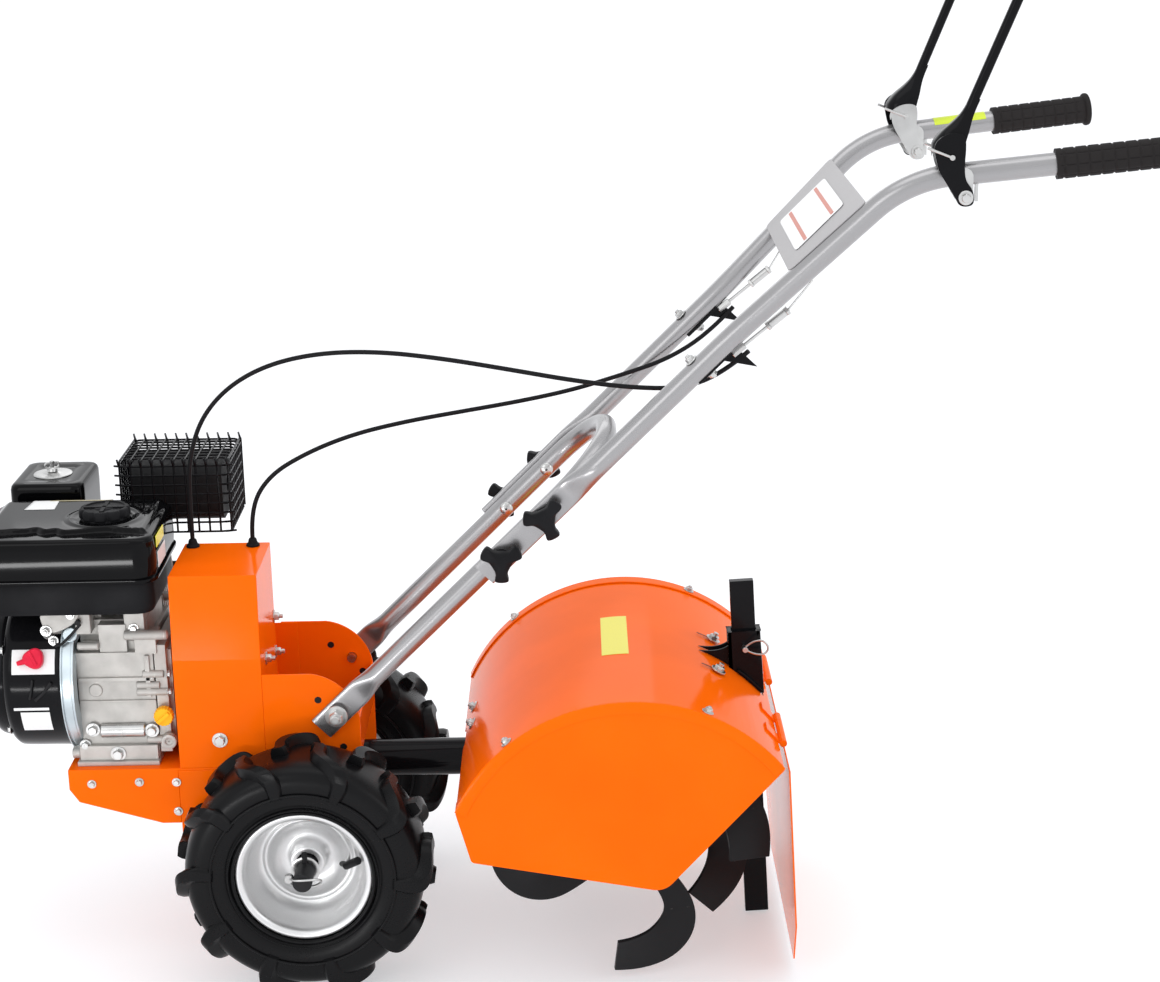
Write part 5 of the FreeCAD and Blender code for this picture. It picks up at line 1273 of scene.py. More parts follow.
class TILLER_OT_handlebars(bpy.types.Operator):
    """Lower loop, upper tubes, grips, clamp knobs and the console plate with its label"""

    bl_idname = "tiller.handlebars"
    bl_label = "Handlebars"

    def execute(self, context):
        add_piece("handle_loop", [lower_loop()], "tube_silver",
                  stands_for=["handle_lower"])
        tube, grip = [upper_tube()], grip_surface()
        for side, sign in SIDES:
            add_piece("handle_tube_" + side, on_side(tube, sign), "tube_silver",
                      stands_for=["handle_upper_" + side])
            add_piece("grip_sleeve_" + side, on_side(grip, sign), "grip_rubber",
                      stands_for=["grip_" + side], angle=50)
        add_piece("clamp_knobs", both_sides(knob_surfaces()), "black_plastic",
                  stands_for=["handle_knobs"])
        dome = rounded([(-12, 4), (0, 4), (0, 9), (1.6, 8.4), (3.4, 5.0), (4.0, 0.5), (-12, 0.5)], 1)
        domes = [turned(dome, on_handle(reach, 88.6), (0, -1, 0), 32) for reach in KNOB_REACHES]
        add_piece("clamp_bolts", both_sides(domes), "zinc_plate")
        half = np.array([(820, 150), (823, 157), (829, 160), (935, 181), (941, 180), (943, 174)])
        outline = np.concatenate([half, (half * (1, -1))[::-1]])
        plate = slab(on_handle(outline[:, 0], outline[:, 1], 13.2), HANDLE_UP * 1.5)
        add_piece("console_sheet", [plate], "console_satin",
                  stands_for=["console_plate"], edge=0.5)

        def film(reach0, reach1, side0, side1, lift, corner):
            """Thin film with rounded corners on the console plate."""
            shape = oval((reach1 - reach0) / 2, (side1 - side0) / 2, corner, 64)
            middle = ((reach0 + reach1) / 2, (side0 + side1) / 2)
            outline = on_handle(shape[:, 0] + middle[0], shape[:, 1] + middle[1], lift)
            return slab(outline, HANDLE_UP * 0.3)

        face = TUBE + 2.0
        add_piece("console_label", [film(840, 921, -106, 106, face, 0.1)], "film_white")
        bars = [film(at - 2.6, at + 2.6, -98, 98, face + 0.25, 0.1) for at in (858, 903)]
        add_piece("console_label_bars", bars, "film_orange")
        return say(self)


# --------------------------------------------------------------------- levers
def lever_frame():
    """Pivot of the left lever, and the turn of its tube outwards in plan."""
    corner, end = UPPER_CORNERS[2], UPPER_CORNERS[3]
    along = end - corner
    pivot = corner + along * ((-820.0 - corner[0]) / along[0]) - (0, 0, LEVER_PIVOT_DROP)
    return pivot, math.degrees(math.atan2(along[1], -along[0]))


def lever_surfaces():
    """Left lever about its pivot: saddle, outer ear and rod, then the inner ear and its pins.

    The saddle is a U-shaped sheet: at each height its front and rear edges and its half
    width are given, and the U between them is a superellipse arc.
    """
    heights = np.array([(56.0, 40.0, 4.0, 21.0), (64.0, 39.0, 2.0, 21.0), (76.0, 29.0, -2.0, 17.5),
                        (87.0, 15.0, -5.0, 12.0), (97.0, 5.5, -8.5, 8.0), (112.0, -2.5, -15.0, 6.3)])
    z, front, rear, half = rounded(heights, 2, False).T[..., None]
    t = np.linspace(-1, 1, 25)
    outer_x = rear + (front - rear) * np.cos(t * np.pi / 2) ** 0.6
    outer_y = half * np.sign(t) * np.abs(np.sin(t * np.pi / 2)) ** 0.7
    inner_x = rear + (front - rear - 3.0) * np.cos(t * np.pi / 2) ** 0.6
    inner_y = (half - 2.6) * np.sign(t) * np.abs(np.sin(t * np.pi / 2)) ** 0.7
    level = z + 0 * t
    shell = np.concatenate(
        [np.stack([outer_x, outer_y, level], -1), np.stack([inner_x, inner_y, level], -1)[:, ::-1]], 1
    )
    ear = rounded(
        [(-10, -3), (-8, -9), (0, -11), (8, -9), (12, -1), (24, 18), (33, 33), (36, 46), (39, 60),
         (32, 70), (18, 76), (3, 74), (1, 60), (2.5, 36), (1, 20), (-8, 9)], 2)
    lean = math.radians(22.3)
    rod = (-4.5, 0.0, 103.0) + np.outer(np.linspace(0, 195, 30), (-math.sin(lean), 0, math.cos(lean)))
    rod = loft(carried(rod, oval(6.0, 6.0, 0.85, 24), (0, 1, 0)))
    arm = [loft(shell), upright_plate(ear, 18.5, 3.0), rod]
    lower = np.stack([ear[:, 0], ear[:, 1] * (1 - 0.16 * (ear[:, 1] > 50))], -1)
    plates = [upright_plate(lower, -21.5, 3.0)]
    for side in (23.2, -23.2):
        plates.append(bar((16.0, side, 46.5), (46.0, side, 58.5), 1.7, 14))
        plates.append(bar((17.0, side * 0.9, 46.9), (17.0, side * 1.06, 46.9), 3.2, 20))
    return arm, plates


class TILLER_OT_levers(bpy.types.Operator):
    """Clutch levers with their pressed saddles, pivot bolts, springs and inner wires"""

    bl_idname = "tiller.levers"
    bl_label = "Levers"

    def execute(self, context):
        pivot, splay = lever_frame()
        arm, plates = lever_surfaces()
        pins = []
        for way in (1, -1):
            pins += bolt((0.0, way * 21.8, 0.0), (0, way, 0), 10.0, 5.0, 1.2)
        pins.append(bar((0, -22, 0), (0, 22, 0), 4.0))
        lug = rounded([(-8, -9), (9, -9), (22, 18), (30, 34), (-8, 36), (-9, 10)], 2)
        lugs = [upright_plate(lug, side, 2.5) for side in (-17.3, 14.8)]
        lugs.append(block((-16.0, -4.5, -7.0), (-12.5, 4.5, 14.0)))

        def placed(surfaces):
            """Surfaces drawn about the pivot, turned with the tube and moved to the pivot."""
            return [
                (turn(points, (0, 0, 0), (0, 0, 1), -splay) + pivot, faces)
                for points, faces in surfaces
            ]

        for side, sign in SIDES:
            body = "lever_" + side[0]
            add_piece("lever_arm_" + side, on_side(placed(arm), sign), "black_gloss",
                      body, ["lever_" + side], edge=0.5)
            add_piece("lever_plate_" + side, on_side(placed(plates), sign), "zinc_plate",
                      body, edge=0.4)
            stands = ["lever_lugs"] if side == "left" else []
            add_piece("lever_pivot_" + side, on_side(placed(pins + lugs), sign), "zinc_plate",
                      stands_for=stands)
        t = np.radians(np.linspace(115.0, 25.0, 12))
        arc = np.stack([-np.cos(t), np.sin(t)], -1)
        strip = np.concatenate([arc * 14.0, arc[::-1] * 13.2])
        corner, end = UPPER_CORNERS[2], UPPER_CORNERS[3]
        along = (end - corner) / (end - corner)[0]
        seat = corner + along * (np.linspace(-845.0, -914.0, 10)[:, None] - corner[0])
        surface = loft(carried(seat, strip, (0, 0, 1)))
        add_piece("tube_strip", on_side([surface], MIRROR), "film_lime")
        return say(self)


class TILLER_OT_adjusters(bpy.types.Operator):
    """Straps, pointed guides and screwed adjusters that end the control cables"""

    bl_idname = "tiller.adjusters"
    bl_label = "Cable adjusters"

    def execute(self, context):
        def on_line(reach):
            """Point on the adjuster's own line, which leaves the tube a little."""
            return on_handle(reach, 132.0, -17.0 - (reach - 698.0) * 0.094)

        parts = []
        for low, high, radius, sides, edge in (
            (698, 717, 5.0, 6, 0.6),
            (712, 786, 2.2, 16, 0.4),
            (752, 756, 6.0, 6, 0.5),
            (756, 781, 5.2, 28, 0.5),
            (781, 785, 6.0, 6, 0.5),
        ):
            parts.append(bar(on_line(low), on_line(high), radius, sides, edge))
        way = np.linspace(0.0, 48.0, 12)
        parts.append(pipe(on_handle(784.0 + way, 132.0 + way * 0.4, -25.2 + way * 0.2), 1.2, 10))
        parts += bolt(on_handle(657, 133, 13.2), HANDLE_UP, 10.0, 5.0, 1.4, 3.0)
        parts += bolt(on_handle(664, 133, -14), -HANDLE_UP, 10.0, 5.0, 1.0, 2.0)
        add_piece("cable_adjusters", both_sides(parts), "zinc_plate",
                  stands_for=["cable_stops"])
        strap = np.array([(645, -10), (700, -10), (700, -14), (645, -14)])
        guide = np.array([(682, -11), (703, -11), (708, -24), (709, -50)])
        parts = [slab(on_handle(strap[:, 0], 124, strap[:, 1]), (0, 18, 0)),
                 slab(on_handle(guide[:, 0], 130, guide[:, 1]), (0, 2.5, 0))]
        add_piece("adjuster_straps", both_sides(parts), "black_gloss", edge=0.5)
        return say(self)


# --------------------------------------------------------------------- engine
def rounded_plan(low, high, corner, sides=96):
    """Rectangle between two (x, y) corners whose corners are arcs, evenly sampled.

    A point of the unit square's rim is pushed onto the arc of its corner: each coordinate
    is clipped to the inner rectangle and the corner radius is added along what is left.
    """
    low, high = np.asarray(low, float), np.asarray(high, float)
    centre, half = (low + high) / 2, (high - low) / 2
    angle = np.linspace(0, 2 * np.pi, sides, endpoint=False)
    way = np.stack([np.cos(angle), np.sin(angle)], -1)
    rim = way / np.abs(way).max(-1, keepdims=True) * half
    inner = np.clip(rim, -(half - corner), half - corner)
    rest = rim - inner
    length = np.maximum(np.linalg.norm(rest, axis=-1, keepdims=True), 1e-9)
    return centre + inner + rest / length * np.minimum(corner, length)


def plan_rings(low, high, levels, corner, sides=144):
    """Rings of a rounded rectangle, one for each level's (inset, height)."""
    rings = []
    for (inset, height), radius in zip(levels, np.broadcast_to(corner, len(levels))):
        plan = rounded_plan(np.add(low, inset), np.subtract(high, inset), radius, sides)
        rings.append(np.column_stack([plan, np.full(sides, height)]))
    return rings


def drum_point(x, degrees, radius):
    """Point on the fan drum at an angle from +Y towards +Z, and the normal there."""
    a = math.radians(degrees)
    normal = np.array([0.0, math.cos(a), math.sin(a)])
    return np.array([x, 0.0, CRANK_Z]) + normal * radius, normal


def drum_patch(x0, x1, low, high, radius, wall, steps=16):
    """Closed curved plate round the crank axis between two angles."""
    a = np.radians(np.linspace(low, high, steps))
    rings = [
        np.stack([np.full(steps, x), r * np.cos(a), CRANK_Z + r * np.sin(a)], -1)
        for r, x in ((radius, x0), (radius, x1), (radius + wall, x1), (radius + wall, x0))
    ]
    return loft(np.stack(rings, 1))


class TILLER_OT_crankcase(bpy.types.Operator):
    """Die-cast crankcase with its cover, ribs, bosses, foot, oil cap and drain plug"""

    bl_idname = "tiller.crankcase"
    bl_label = "Crankcase"

    def execute(self, context):
        near = CASTING_FACE
        cast = [
            block((199, -78, 280), (300, near - 2, 428)),
            block((202, -72, 424), (292, 66, 441)),
            block((207, -50, 436), (296, 58, 468)),
            block((232, 40, 428), (268, 74, 466)),
            block((193, 44, 427), (221, near + 2, 452)),
            block((208, 30, 448), (234, 72, 491)),
            block((268, -50, 448), (298, 50, 491)),
            block((199, -80, 389), (298, near + 1.5, 394)),
            block((199, -80, 359.5), (298, near + 1.0, 362)),
            block((204, near - 4, 366), (210, near + 1.5, 424)),
            block((200, -83, 280), (303, 84, 300)),
            block((198, -90, BED_TOP), (306, 90, BED_TOP + 6)),
            block((182, -74, 288), (197.5, near - 1, 438)),
            block((177, -66, 300), (184, near - 12, 428)),
        ]
        for z, x0, x1, radius in ((452, 178, 234, 6.5), (398, 186, 214, 5.2), (382.5, 192, 223, 4.8),
                                  (373, 182, 223, 5.2), (438, 268, 296, 5.2), (306, 182, 214, 6.0)):
            cast += both_sides([bar((x0, near - 1.5, z), (x1, near - 1.5, z), radius, 28, 0.8)])
        cast += [
            bar((277, near - 4, 376), (277, near + 0.4, 376), 9.0, 36, 1.0),
            bar((303, 60, 288), (316, 60, 288), 7.0, 28, 1.0),
            bar((303, near - 2, 288), (314, near - 2, 288), 7.0, 28, 1.0),
        ]
        add_piece("crankcase_casting", cast, "cast_alloy",
                  stands_for=["crankcase", "crankcase_cover"], edge=1.6, angle=30)

        t = np.linspace(0, np.pi, 20)
        lip = np.stack([0 * t, 8.0 * np.sin(t), 9.5 * np.cos(t)], -1)
        ends = ((215.0, 0.85), (216.5, 1.0), (272.5, 1.0), (274.0, 0.85))
        shiny = [domed(lip, (0.0, near + 0.5, 320.0), (1, 0, 0), ends)]
        for place, size in (((206.5, near + 2, 320), 11.0), ((284.0, near + 2, 322), 11.0),
                            ((252.4, 84.0, 289.0), 12.0), ((221.9, 72.0, 460.0), 8.0),
                            ((296.0, near, 300.0), 9.0)):
            shiny += bolt(place, (0, 1, 0), size, size * 0.5, 1.6)
        for z in (452.0, 398.0, 373.0, 306.0):
            shiny += both_sides(bolt((182.0, near - 1.5, z), (-1, 0, 0), 8.0, 4.0, 1.0))
        add_piece("crankcase_fixings", shiny, "zinc_plate")

        plug = rounded([(0, 0), (0, 8), (4, 8), (4.2, 10.6), (9, 10.6), (9.3, 8.6), (10.6, 8.6),
                        (10.9, 10.2), (14, 10.2), (14.6, 8.8), (14.6, 5), (12.4, 4.4), (12.4, 0)], 1)
        add_piece("drain_plug", [turned(plug, (184.0, 74.0, 306.0), (0, 1, 0), 40)], "cast_alloy")
        angle = np.linspace(0, 2 * np.pi, 72, endpoint=False)
        knurl = np.insert(circle(12.6 + 0.5 * np.cos(18 * angle), 72), 1, 0.0, axis=1)
        centre = np.array([188.0, 82.0, 343.0])
        levels = ((0.0, 0.9), (1.0, 1.0), (10.0, 1.0), (12.0, 0.93), (12.4, 0.2))
        head = domed(knurl, centre, (0, 1, 0), levels)
        points, faces = block((-10.0, 11.6, -2.2), (10.0, 16.0, 2.2))
        wing = (turn(points, (0, 0, 0), (0, 1, 0), 40) + centre, faces)
        neck = bar(centre - (0, 10, 0), centre + (0, 2, 0), 8.0)
        add_piece("oil_cap", [head, wing, neck], "yellow_plastic", edge=0.6)
        return say(self)


class TILLER_OT_starter(bpy.types.Operator):
    """Fan drum, recoil starter, its grip, the engine switch and blank stickers"""

    bl_idname = "tiller.starter"
    bl_label = "Fan and starter"

    def execute(self, context):
        soften("shroud_plate", "black_gloss", 0.8)
        centre = (0.0, 0.0, CRANK_Z)
        drum = [(309.2, 96.0), (309.2, 104.6), (313.0, 105.4), (318.0, 102.6), (383.0, 102.6),
                (388.5, 100.6), (394.0, 95.0), (394.0, 70.0), (392.0, 70.0), (391.8, 93.0), (383.0, 98.8)]
        add_piece("fan_drum", [turned(rounded(drum, 2), centre, (1, 0, 0), 144)], "black_gloss",
                  stands_for=["fan_housing"])
        bowl = [(394.0, 86.0), (394.0, 88.4), (410.0, 87.6), (418.0, 80.0), (425.5, 70.0), (426.5, 56.0),
                (427.0, 44.0), (436.0, 34.0), (438.0, 26.0), (438.0, 0.0), (435.5, 0.0), (435.0, 25.0),
                (424.0, 42.0), (423.0, 68.0), (408.0, 85.0)]
        pieces = [turned(rounded(bowl, 2), centre, (1, 0, 0), 128)]
        for degrees in range(0, 360, 15):
            inner, outer = drum_point(426.6, degrees, 47.0)[0], drum_point(425.6, degrees, 68.0)[0]
            pieces.append(bar(inner, outer, 1.9, 12, 0.6))
        add_piece("starter_bowl", pieces, "black_gloss",
                  stands_for=["recoil_starter"])
        way = np.linspace(-19, 19, 20)
        handle = np.column_stack([np.full(20, 430.0), 66 + way, 452 - way * 0.2])
        pull = [pipe(handle, 6.2 + 1.6 * np.sin(np.linspace(0, np.pi, 20)), 24),
                bar((418.0, 66.0, 451.0), (427.0, 66.0, 452.0), 4.5, 20, 0.8)]
        add_piece("starter_grip", pull, "black_plastic")
        heads = []
        for degrees in (35.0, 107.0, 179.0, 251.0, 323.0):
            place, _ = drum_point(394.0, degrees, 94.0)
            heads += bolt(place - (1.5, 0, 0), (1, 0, 0), 8.0, 3.4, 1.0)
        place, normal = drum_point(333.0, 46.0, 102.0)
        heads += bolt(place, normal, 9.0, 5.0, 1.5, 5.0)
        add_piece("starter_screws", heads, "zinc_plate")
        band = [drum_patch(302.0, 315.0, -62.0, 64.0, 104.4, 2.2, 60),
                drum_patch(313.4, 315.4, -62.0, 64.0, 102.8, 6.6, 60),
                drum_patch(299.0, 303.0, -50.0, 62.0, 84.0, 22.0, 60)]
        place, normal = drum_point(304.0, 44.0, 106.0)
        band.append(bar(place - (0, 10, 4), place + (0, 4, 2), 10.0, 28, 1.2))
        add_piece("shroud_band", band, "pale_zinc", edge=0.6)
        plate = drum_patch(323.0, 379.0, 16.0, 34.0, 103.0, 1.6, 12)
        add_piece("switch_plate", [plate], "film_white", edge=0.5)
        seat, normal = drum_point(349.0, 27.0, 104.4)
        angle = np.linspace(0, 2 * np.pi, 72, endpoint=False)
        lobes = circle(13.2 + 0.9 * np.cos(3 * angle), 72)
        x_way, tangent = np.array([1.0, 0.0, 0.0]), np.cross(normal, (1.0, 0.0, 0.0))
        levels = ((0.0, 0.92), (1.0, 1.0), (8.5, 1.0), (10.4, 0.86), (10.8, 0.3))
        dial = domed(x_way * lobes[:, :1] + tangent * lobes[:, 1:], seat, normal, levels)
        arm = seat + normal * 6.5 + np.outer(np.linspace(6, 21, 8), x_way + tangent * 0.3)
        key = seat + normal * 10.6 + np.outer(np.linspace(-9, 9, 8), x_way * 0.55 - tangent)
        switch = [dial, pipe(arm, np.linspace(4.6, 3.0, 8), 16), pipe(key, 2.1, 12)]
        add_piece("engine_switch", switch, "red_plastic")
        stop = [drum_point(x, a, 105.6)[0] for x, a in ((352, 12), (354, 4), (357, -2))]
        stay = [drum_point(x, a, 105.2)[0] for x, a in ((328, 10), (338, 3), (350, -3))]
        links = [pipe(stop, 1.6, 10, (1, 0, 0)), pipe(stay, 2.2, 10, (1, 0, 0))]
        add_piece("stop_links", links, "cast_iron")
        blank = [drum_patch(334.0, 372.0, -31.5, -13.5, 102.7, 0.3),
                 drum_patch(334.0, 380.0, -11.8, -9.6, 102.7, 0.25)]
        add_piece("starter_stickers", blank, "film_white")
        return say(self)


FILLER = (257.0, 28.0)


def tank_press(x, y):
    """Pressed relief of the tank's top: a raised field behind a wavy lip and a cap ring.

    The lip runs along Y = 80 + 4 cos((x - 300) / 17) with two notches 7 mm deep; the ring
    round the filler is a smooth hump at a radius of 45 mm.
    """
    notches = np.exp(-(((x - 338.0) / 7.0) ** 2)) + np.exp(-(((x - 312.0) / 7.0) ** 2))
    lip = 80.0 + 4.0 * np.cos((x - 300.0) / 17.0) - 7.0 * notches
    field = ramp(lip - y, -2.0, 2.5) * ramp(y, -58.0, -48.0) * ramp(x, 190.0, 200.0)
    away = np.hypot(x - FILLER[0], y - FILLER[1])
    ring = np.exp(-(((away - 45.0) / 5.0) ** 2)) * (1 - ramp(y, 84.0, 98.0))
    return 6.0 * field * (1 - ramp(x, 398.0, 410.0)) + 3.2 * ring * (1 - 0.5 * field)


def tank_surface():
    """Gloss body of the tank: rounded plan, seam lip, full sides and a pressed top.

    Rings go up the side, over a shoulder of quarter-ellipse section and in to the middle;
    on the top each ring is the plan shrunk towards the centre.
    """
    sides, shoulder = 192, 7.0
    side = [(2.0, 534.0), (-0.6, 534.4), (-1.2, 536.5), (-1.0, 539.0), (1.6, 540.5), (1.0, 546.0),
            (0.5, 556.0), (0.8, 568.0), (1.2, 578.0), (1.6, 585.5)]
    rings = plan_rings(TANK_LOW, TANK_HIGH, side, 24.0, sides)
    for a in np.radians(np.linspace(10, 90, 9)):
        inset = shoulder * (1 - math.cos(a)) + 1.8
        plan = rounded_plan(np.add(TANK_LOW, inset), np.subtract(TANK_HIGH, inset), 22.0, sides)
        press = tank_press(plan[:, 0], plan[:, 1]) * ramp(math.sin(a), 0.8, 1)
        rings.append(np.column_stack([plan, TANK_TOP - shoulder + shoulder * math.sin(a) + press]))
    centre = np.add(TANK_LOW, TANK_HIGH) / 2
    inner = rings[-1][:, :2]
    for share in np.linspace(0.975, 0.02, 56):
        plan = centre + (inner - centre) * share
        rings.append(np.column_stack([plan, TANK_TOP + tank_press(plan[:, 0], plan[:, 1])]))
    return loft(np.stack(rings))


class TILLER_OT_tank(bpy.types.Operator):
    """Fuel tank with its skirt, filler cap, blank stickers and the cast brackets under it"""

    bl_idname = "tiller.tank"
    bl_label = "Fuel tank"

    def execute(self, context):
        add_piece("tank_pressing", [tank_surface()], "tank_enamel",
                  stands_for=["fuel_tank"], angle=50)
        levels = [(12.0, 489.5), (9.0, 490.5), (7.2, 494.0), (6.4, 500.0), (6.6, 520.0), (7.4, 530.0),
                  (9.0, 534.5)]
        apron = loft(np.stack(plan_rings(TANK_LOW, TANK_HIGH, levels, 20.0)))
        add_piece("tank_apron", [apron], "black_plastic",
                  stands_for=["tank_skirt"])
        angle = np.linspace(0, 2 * np.pi, 240, endpoint=False)
        dent = np.abs(np.cos(5 * angle)) ** 10
        levels = [(0.0, 30.0, 0.0), (1.0, 31.6, 0.0), (3.0, 31.6, 0.0), (4.0, 32.4, 2.6),
                  (5.0, 33.2, 2.6), (12.5, 32.8, 2.6), (14.6, 31.4, 2.6), (15.4, 29.3, 1.56),
                  (15.4, 26.5, 0.0), (13.8, 25.5, 0.0), (13.8, 13.0, 0.0), (15.0, 11.6, 0.0),
                  (15.2, 1.0, 0.0)]
        height, radius, depth = np.array(levels).T[..., None]
        radius = radius - depth * dent
        cap = np.stack([FILLER[0] + radius * np.cos(angle), FILLER[1] + radius * np.sin(angle),
                        np.broadcast_to(597.6 + height, radius.shape)], -1)
        grips = [block((230, 25.5, 610.6), (284, 30.5, 613.4)),
                 block((254.5, 6, 610.6), (259.5, 50, 613.4))]
        add_piece("filler_cap", [loft(cap)] + grips, "black_plastic",
                  stands_for=["fuel_cap"], angle=40)

        def film(corners, name, finish):
            """Blank film laid on the tank's top over a fine grid."""
            u, v = np.meshgrid(np.linspace(0, 1, 12), np.linspace(0, 1, 12), indexing="ij")
            a, b, c, d = (np.array(corner, float) for corner in corners)
            u, v = u[..., None], v[..., None]
            flat = a * (1 - u) * (1 - v) + b * u * (1 - v) + c * u * v + d * (1 - u) * v
            z = TANK_TOP + 0.4 + tank_press(flat[..., 0], flat[..., 1])
            surface = grid(np.concatenate([flat, z[..., None]], -1))
            add_piece(name, [surface], finish, thickness=0.3)

        film(((367, -50), (333, -50), (331, -8), (371, -8)), "tank_sticker", "film_white")
        film(((345, -52), (262, -52), (262, -45), (345, -45)), "tank_strip", "film_beige")
        for name, finish, (y0, y1, z0, z1) in (("tank_label", "film_yellow", (34, 84, 574, 589)),
                                               ("tank_notice", "film_white", (30, 80, 546, 567))):
            film_block = block((TANK_LOW[0] - 0.8, y0, z0), (TANK_LOW[0] + 0.4, y1, z1))
            add_piece(name, [film_block], finish, edge=0.3)

        arm = rounded([(341, 491), (286, 491), (292, 474), (312, 462), (326, 458), (338, 466)], 2)
        cast = [upright_plate(arm, 50.0, 34), block((276, 52, 455), (296, 80, 491)),
                block((312, 52, 449), (332, 72, 464))]
        add_piece("tank_bracket", cast, "cast_alloy", edge=1.6, angle=30)
        rods = [pipe([(288, 84, 471), (300, 86, 458), (313, 90, 446), (322, 92, 444)], 1.9, 10),
                bar((291, 82, 474), (291, 88, 474), 3.6)]
        add_piece("governor_link", rods, "cast_iron")
        heads = bolt((333, 84, 463), (0, 1, 0), 9.0, 5.0, 1.6, 3.0)
        heads += bolt((324, 86, 450), (0, 1, 0), 8.0, 5.0, 1.6, 3.0)
        heads += bolt((300, 84, 484), (0, 1, 0), 7.0, 4.0, 1.2)
        add_piece("bracket_bolts", heads, "zinc_plate")
        return say(self)


class TILLER_OT_intake(bpy.types.Operator):
    """Cylinder, carburettor and the air cleaner with its disc and wing nut"""

    bl_idname = "tiller.intake"
    bl_label = "Cylinder and intake"

    def execute(self, context):
        soften("cylinder", "cast_alloy", 0.5)
        soften("carburettor", "cast_alloy", context.scene.tiller_sizes.cast_edge)
        low, high = (308.0, -202.0), (410.0, -78.0)
        walls = [(3.0, 536.0), (0.0, 537.0), (0.0, 543.0), (2.4, 544.5), (2.0, 548.0), (1.2, 590.0),
                 (1.4, 604.0), (2.6, 608.6), (5.0, 611.2), (8.0, 612.0)]
        dish = [(22.0, 612.0), (26.0, 610.4), (30.0, 610.0), (44.0, 610.2)]
        corners = [13.0] * len(walls) + [8.0] * len(dish)
        cover = loft(np.stack(plan_rings(low, high, walls + dish, corners)))
        add_piece("cleaner_cover", [cover], "tank_enamel",
                  stands_for=["air_cleaner"], angle=45)
        levels = [(8.0, 504.0), (4.0, 506.0), (4.0, 530.0), (0.0, 531.0), (0.0, 536.0)]
        base = loft(np.stack(plan_rings(low, high, levels, 11.0)))
        add_piece("cleaner_base", [base], "black_plastic",
                  stands_for=["air_cleaner_base"], angle=45)
        top = np.array([362.0, -141.0, 609.8])
        disc = rounded([(0.0, 0.0), (0.0, 26.5), (1.6, 26.5), (2.2, 24.0), (2.4, 12.0), (3.6, 9.0),
                        (3.8, 0.0)], 1)
        boss = rounded([(3.6, 0), (3.6, 7.6), (9.0, 6.2), (10.5, 4.6), (10.5, 0)], 1)
        nut = [turned(disc, top, (0, 0, 1), 72), bar(top, top + (0, 0, 19), 3.0),
               turned(boss, top, (0, 0, 1), 40)]
        t = np.linspace(0, np.pi, 20)
        for sign in (1, -1):
            wing = np.stack([sign * (3.0 + 5.5 * np.sin(t)), sign * (1.5 + 3.0 * np.sin(t)),
                             12.0 - 4.6 * np.cos(t) + 1.5 * np.sin(t)], -1)
            nut.append(pipe(top + wing, 1.5, 12, (0, 1, 0.1)))
        add_piece("cleaner_nut", nut, "zinc_plate")
        lean = math.radians(25)
        axis = np.array([0.0, -math.cos(lean), math.sin(lean)])
        head = np.array([255.5, 0.0, CRANK_Z])
        side = np.array([-1.0, 0.0, 0.0])
        seat = head + axis * 196 + side * 33
        plug = [bar(seat, seat + side * 20, 6.0, 24, 0.8),
                bar(seat + side * 16, seat + side * 34, 8.0, 24, 2.0)]
        add_piece("spark_plug_boot", plug, "black_plastic")
        heads = []
        lift = np.cross(axis, side)
        for x in (-22.0, 22.0):
            for z in (-22.0, 22.0):
                heads += bolt(head + axis * 204 + (x, 0, 0) + lift * z, axis, 9.0, 4.0, 1.0)
        add_piece("head_bolts", heads, "zinc_plate")
        return say(self)


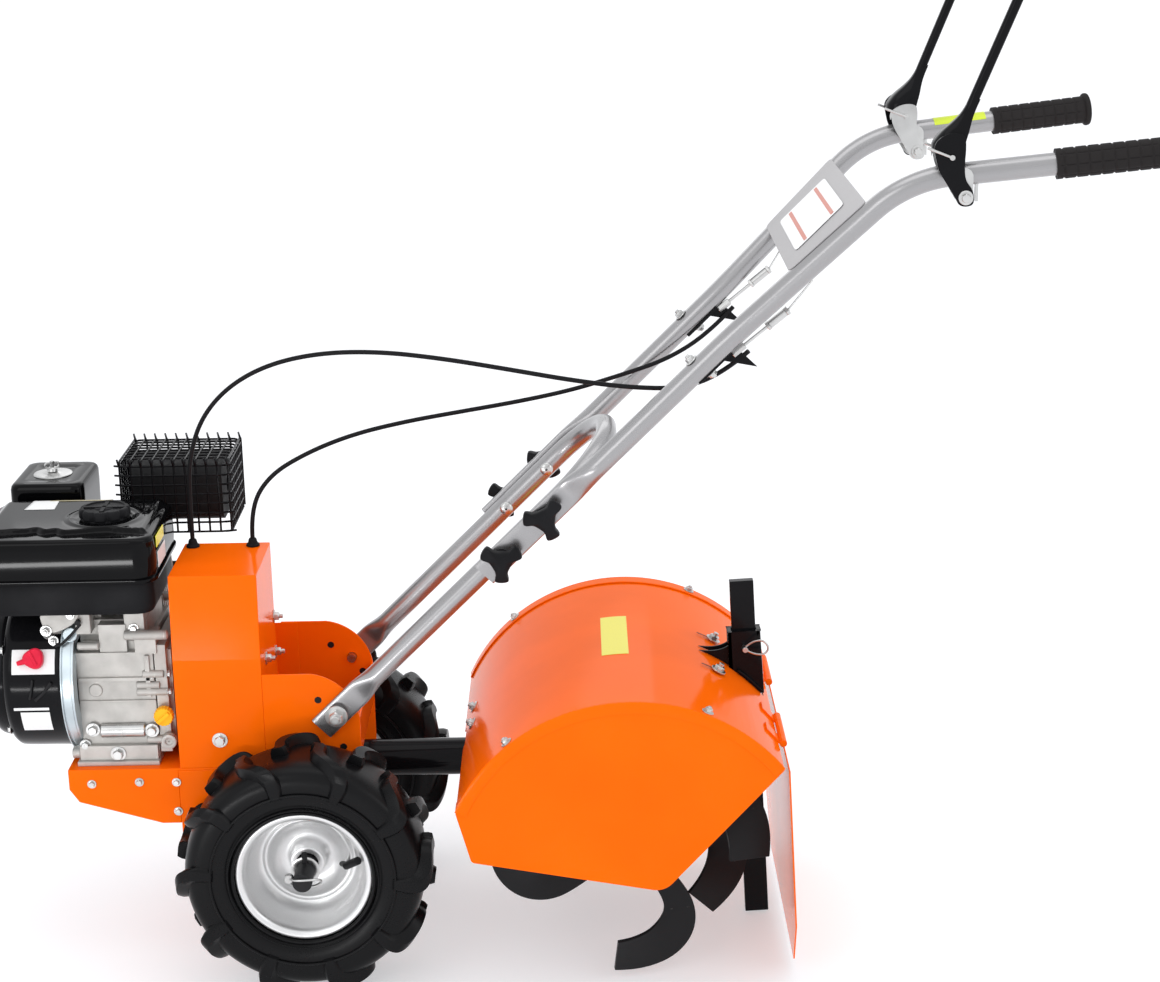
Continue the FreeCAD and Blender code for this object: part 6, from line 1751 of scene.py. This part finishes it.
class TILLER_OT_exhaust(bpy.types.Operator):
    """Muffler inside its cage of round wires"""

    bl_idname = "tiller.exhaust"
    bl_label = "Exhaust"

    def execute(self, context):
        soften("muffler", "cast_iron", 2.0, 25.0)
        wire = context.scene.tiller_sizes.guard_wire
        x0, x1, y0, y1, z0, z1 = 113.5, 260.5, -220.5, -95.5, 537.5, 638.0
        wires = []
        for x in np.linspace(x0, x1, 11):
            corners = [(x, y1, z0), (x, y1, z1), (x, y0, z1), (x, y0, z0)]
            wires.append(pipe(bent(corners, [7.0, 7.0], 3.0), wire, 8, (1, 0, 0)))
            wires.append(bar((x - 2, y0 + 15, z1), (x + 3, y0 - 1, z1 + 5), wire, 8))
            wires.append(bar((x, y0, z1 - 8), (x + 3, y0 - 1, z1 + 5), wire, 8))
            wires.append(bar((x, y1, z1 - 8), (x + 2, y1 + 3, z1 + 4), wire, 8))
        for y in np.linspace(y0, y1, 10)[1:-1]:
            corners = [(x0, y, z0), (x0, y, z1), (x1, y, z1), (x1, y, z0)]
            wires.append(pipe(bent(corners, [7.0, 7.0], 3.0), wire, 8, (0, 1, 0)))
        for z in np.linspace(z0, z1 - 7.0, 8):
            plan = rounded_plan((x0, y0), (x1, y1), 7.0, 64)
            ring = np.column_stack([plan, np.full(64, z)])
            wires.append(pipe(ring, wire, 8, (0, 0, 1), True))
            for x, way in ((x1, 1), (x0, -1)):
                wires.append(bar((x - way * 8, y1, z), (x + way * 7, y1 + 2, z + 2), wire, 8))
        add_piece("guard_wires", wires, "black_gloss", stands_for=["muffler_guard"],
                  angle=60)
        return say(self)


STEPS = (
    TILLER_OT_stage,
    TILLER_OT_finishes,
    TILLER_OT_cables,
    TILLER_OT_wheels,
    TILLER_OT_chassis,
    TILLER_OT_drive,
    TILLER_OT_shield,
    TILLER_OT_stake,
    TILLER_OT_handlebars,
    TILLER_OT_levers,
    TILLER_OT_adjusters,
    TILLER_OT_crankcase,
    TILLER_OT_starter,
    TILLER_OT_tank,
    TILLER_OT_intake,
    TILLER_OT_exhaust,
)


class TILLER_PT_panel(bpy.types.Panel):
    """Sidebar panel with the sizes, colours and one button for each group of pieces"""

    bl_idname = "TILLER_PT_panel"
    bl_label = "Garden Tiller"
    bl_space_type = "VIEW_3D"
    bl_region_type = "UI"
    bl_category = "Tiller"

    def draw(self, context):
        layout = self.layout
        for group in (context.scene.tiller_sizes, context.scene.tiller_colours):
            for key in type(group).__annotations__:
                layout.prop(group, key)
        for step in STEPS:
            layout.operator(step.bl_idname)


CLASSES = (TillerColours, TillerSizes) + STEPS + (TILLER_PT_panel,)


def register():
    """Register the add-on's classes and its two groups of settings."""
    for cls in CLASSES:
        bpy.utils.register_class(cls)
    bpy.types.Scene.tiller_colours = bpy.props.PointerProperty(type=TillerColours)
    bpy.types.Scene.tiller_sizes = bpy.props.PointerProperty(type=TillerSizes)


def unregister():
    """Take the settings and the classes away again."""
    del bpy.types.Scene.tiller_sizes
    del bpy.types.Scene.tiller_colours
    for cls in reversed(CLASSES):
        bpy.utils.unregister_class(cls)


def main():
    """Make every piece in order."""
    register()
    for step in STEPS:
        group, _, name = step.bl_idname.partition(".")
        getattr(getattr(bpy.ops, group), name)()
    bpy.context.view_layer.update()


if __name__ == "__main__":
    main()
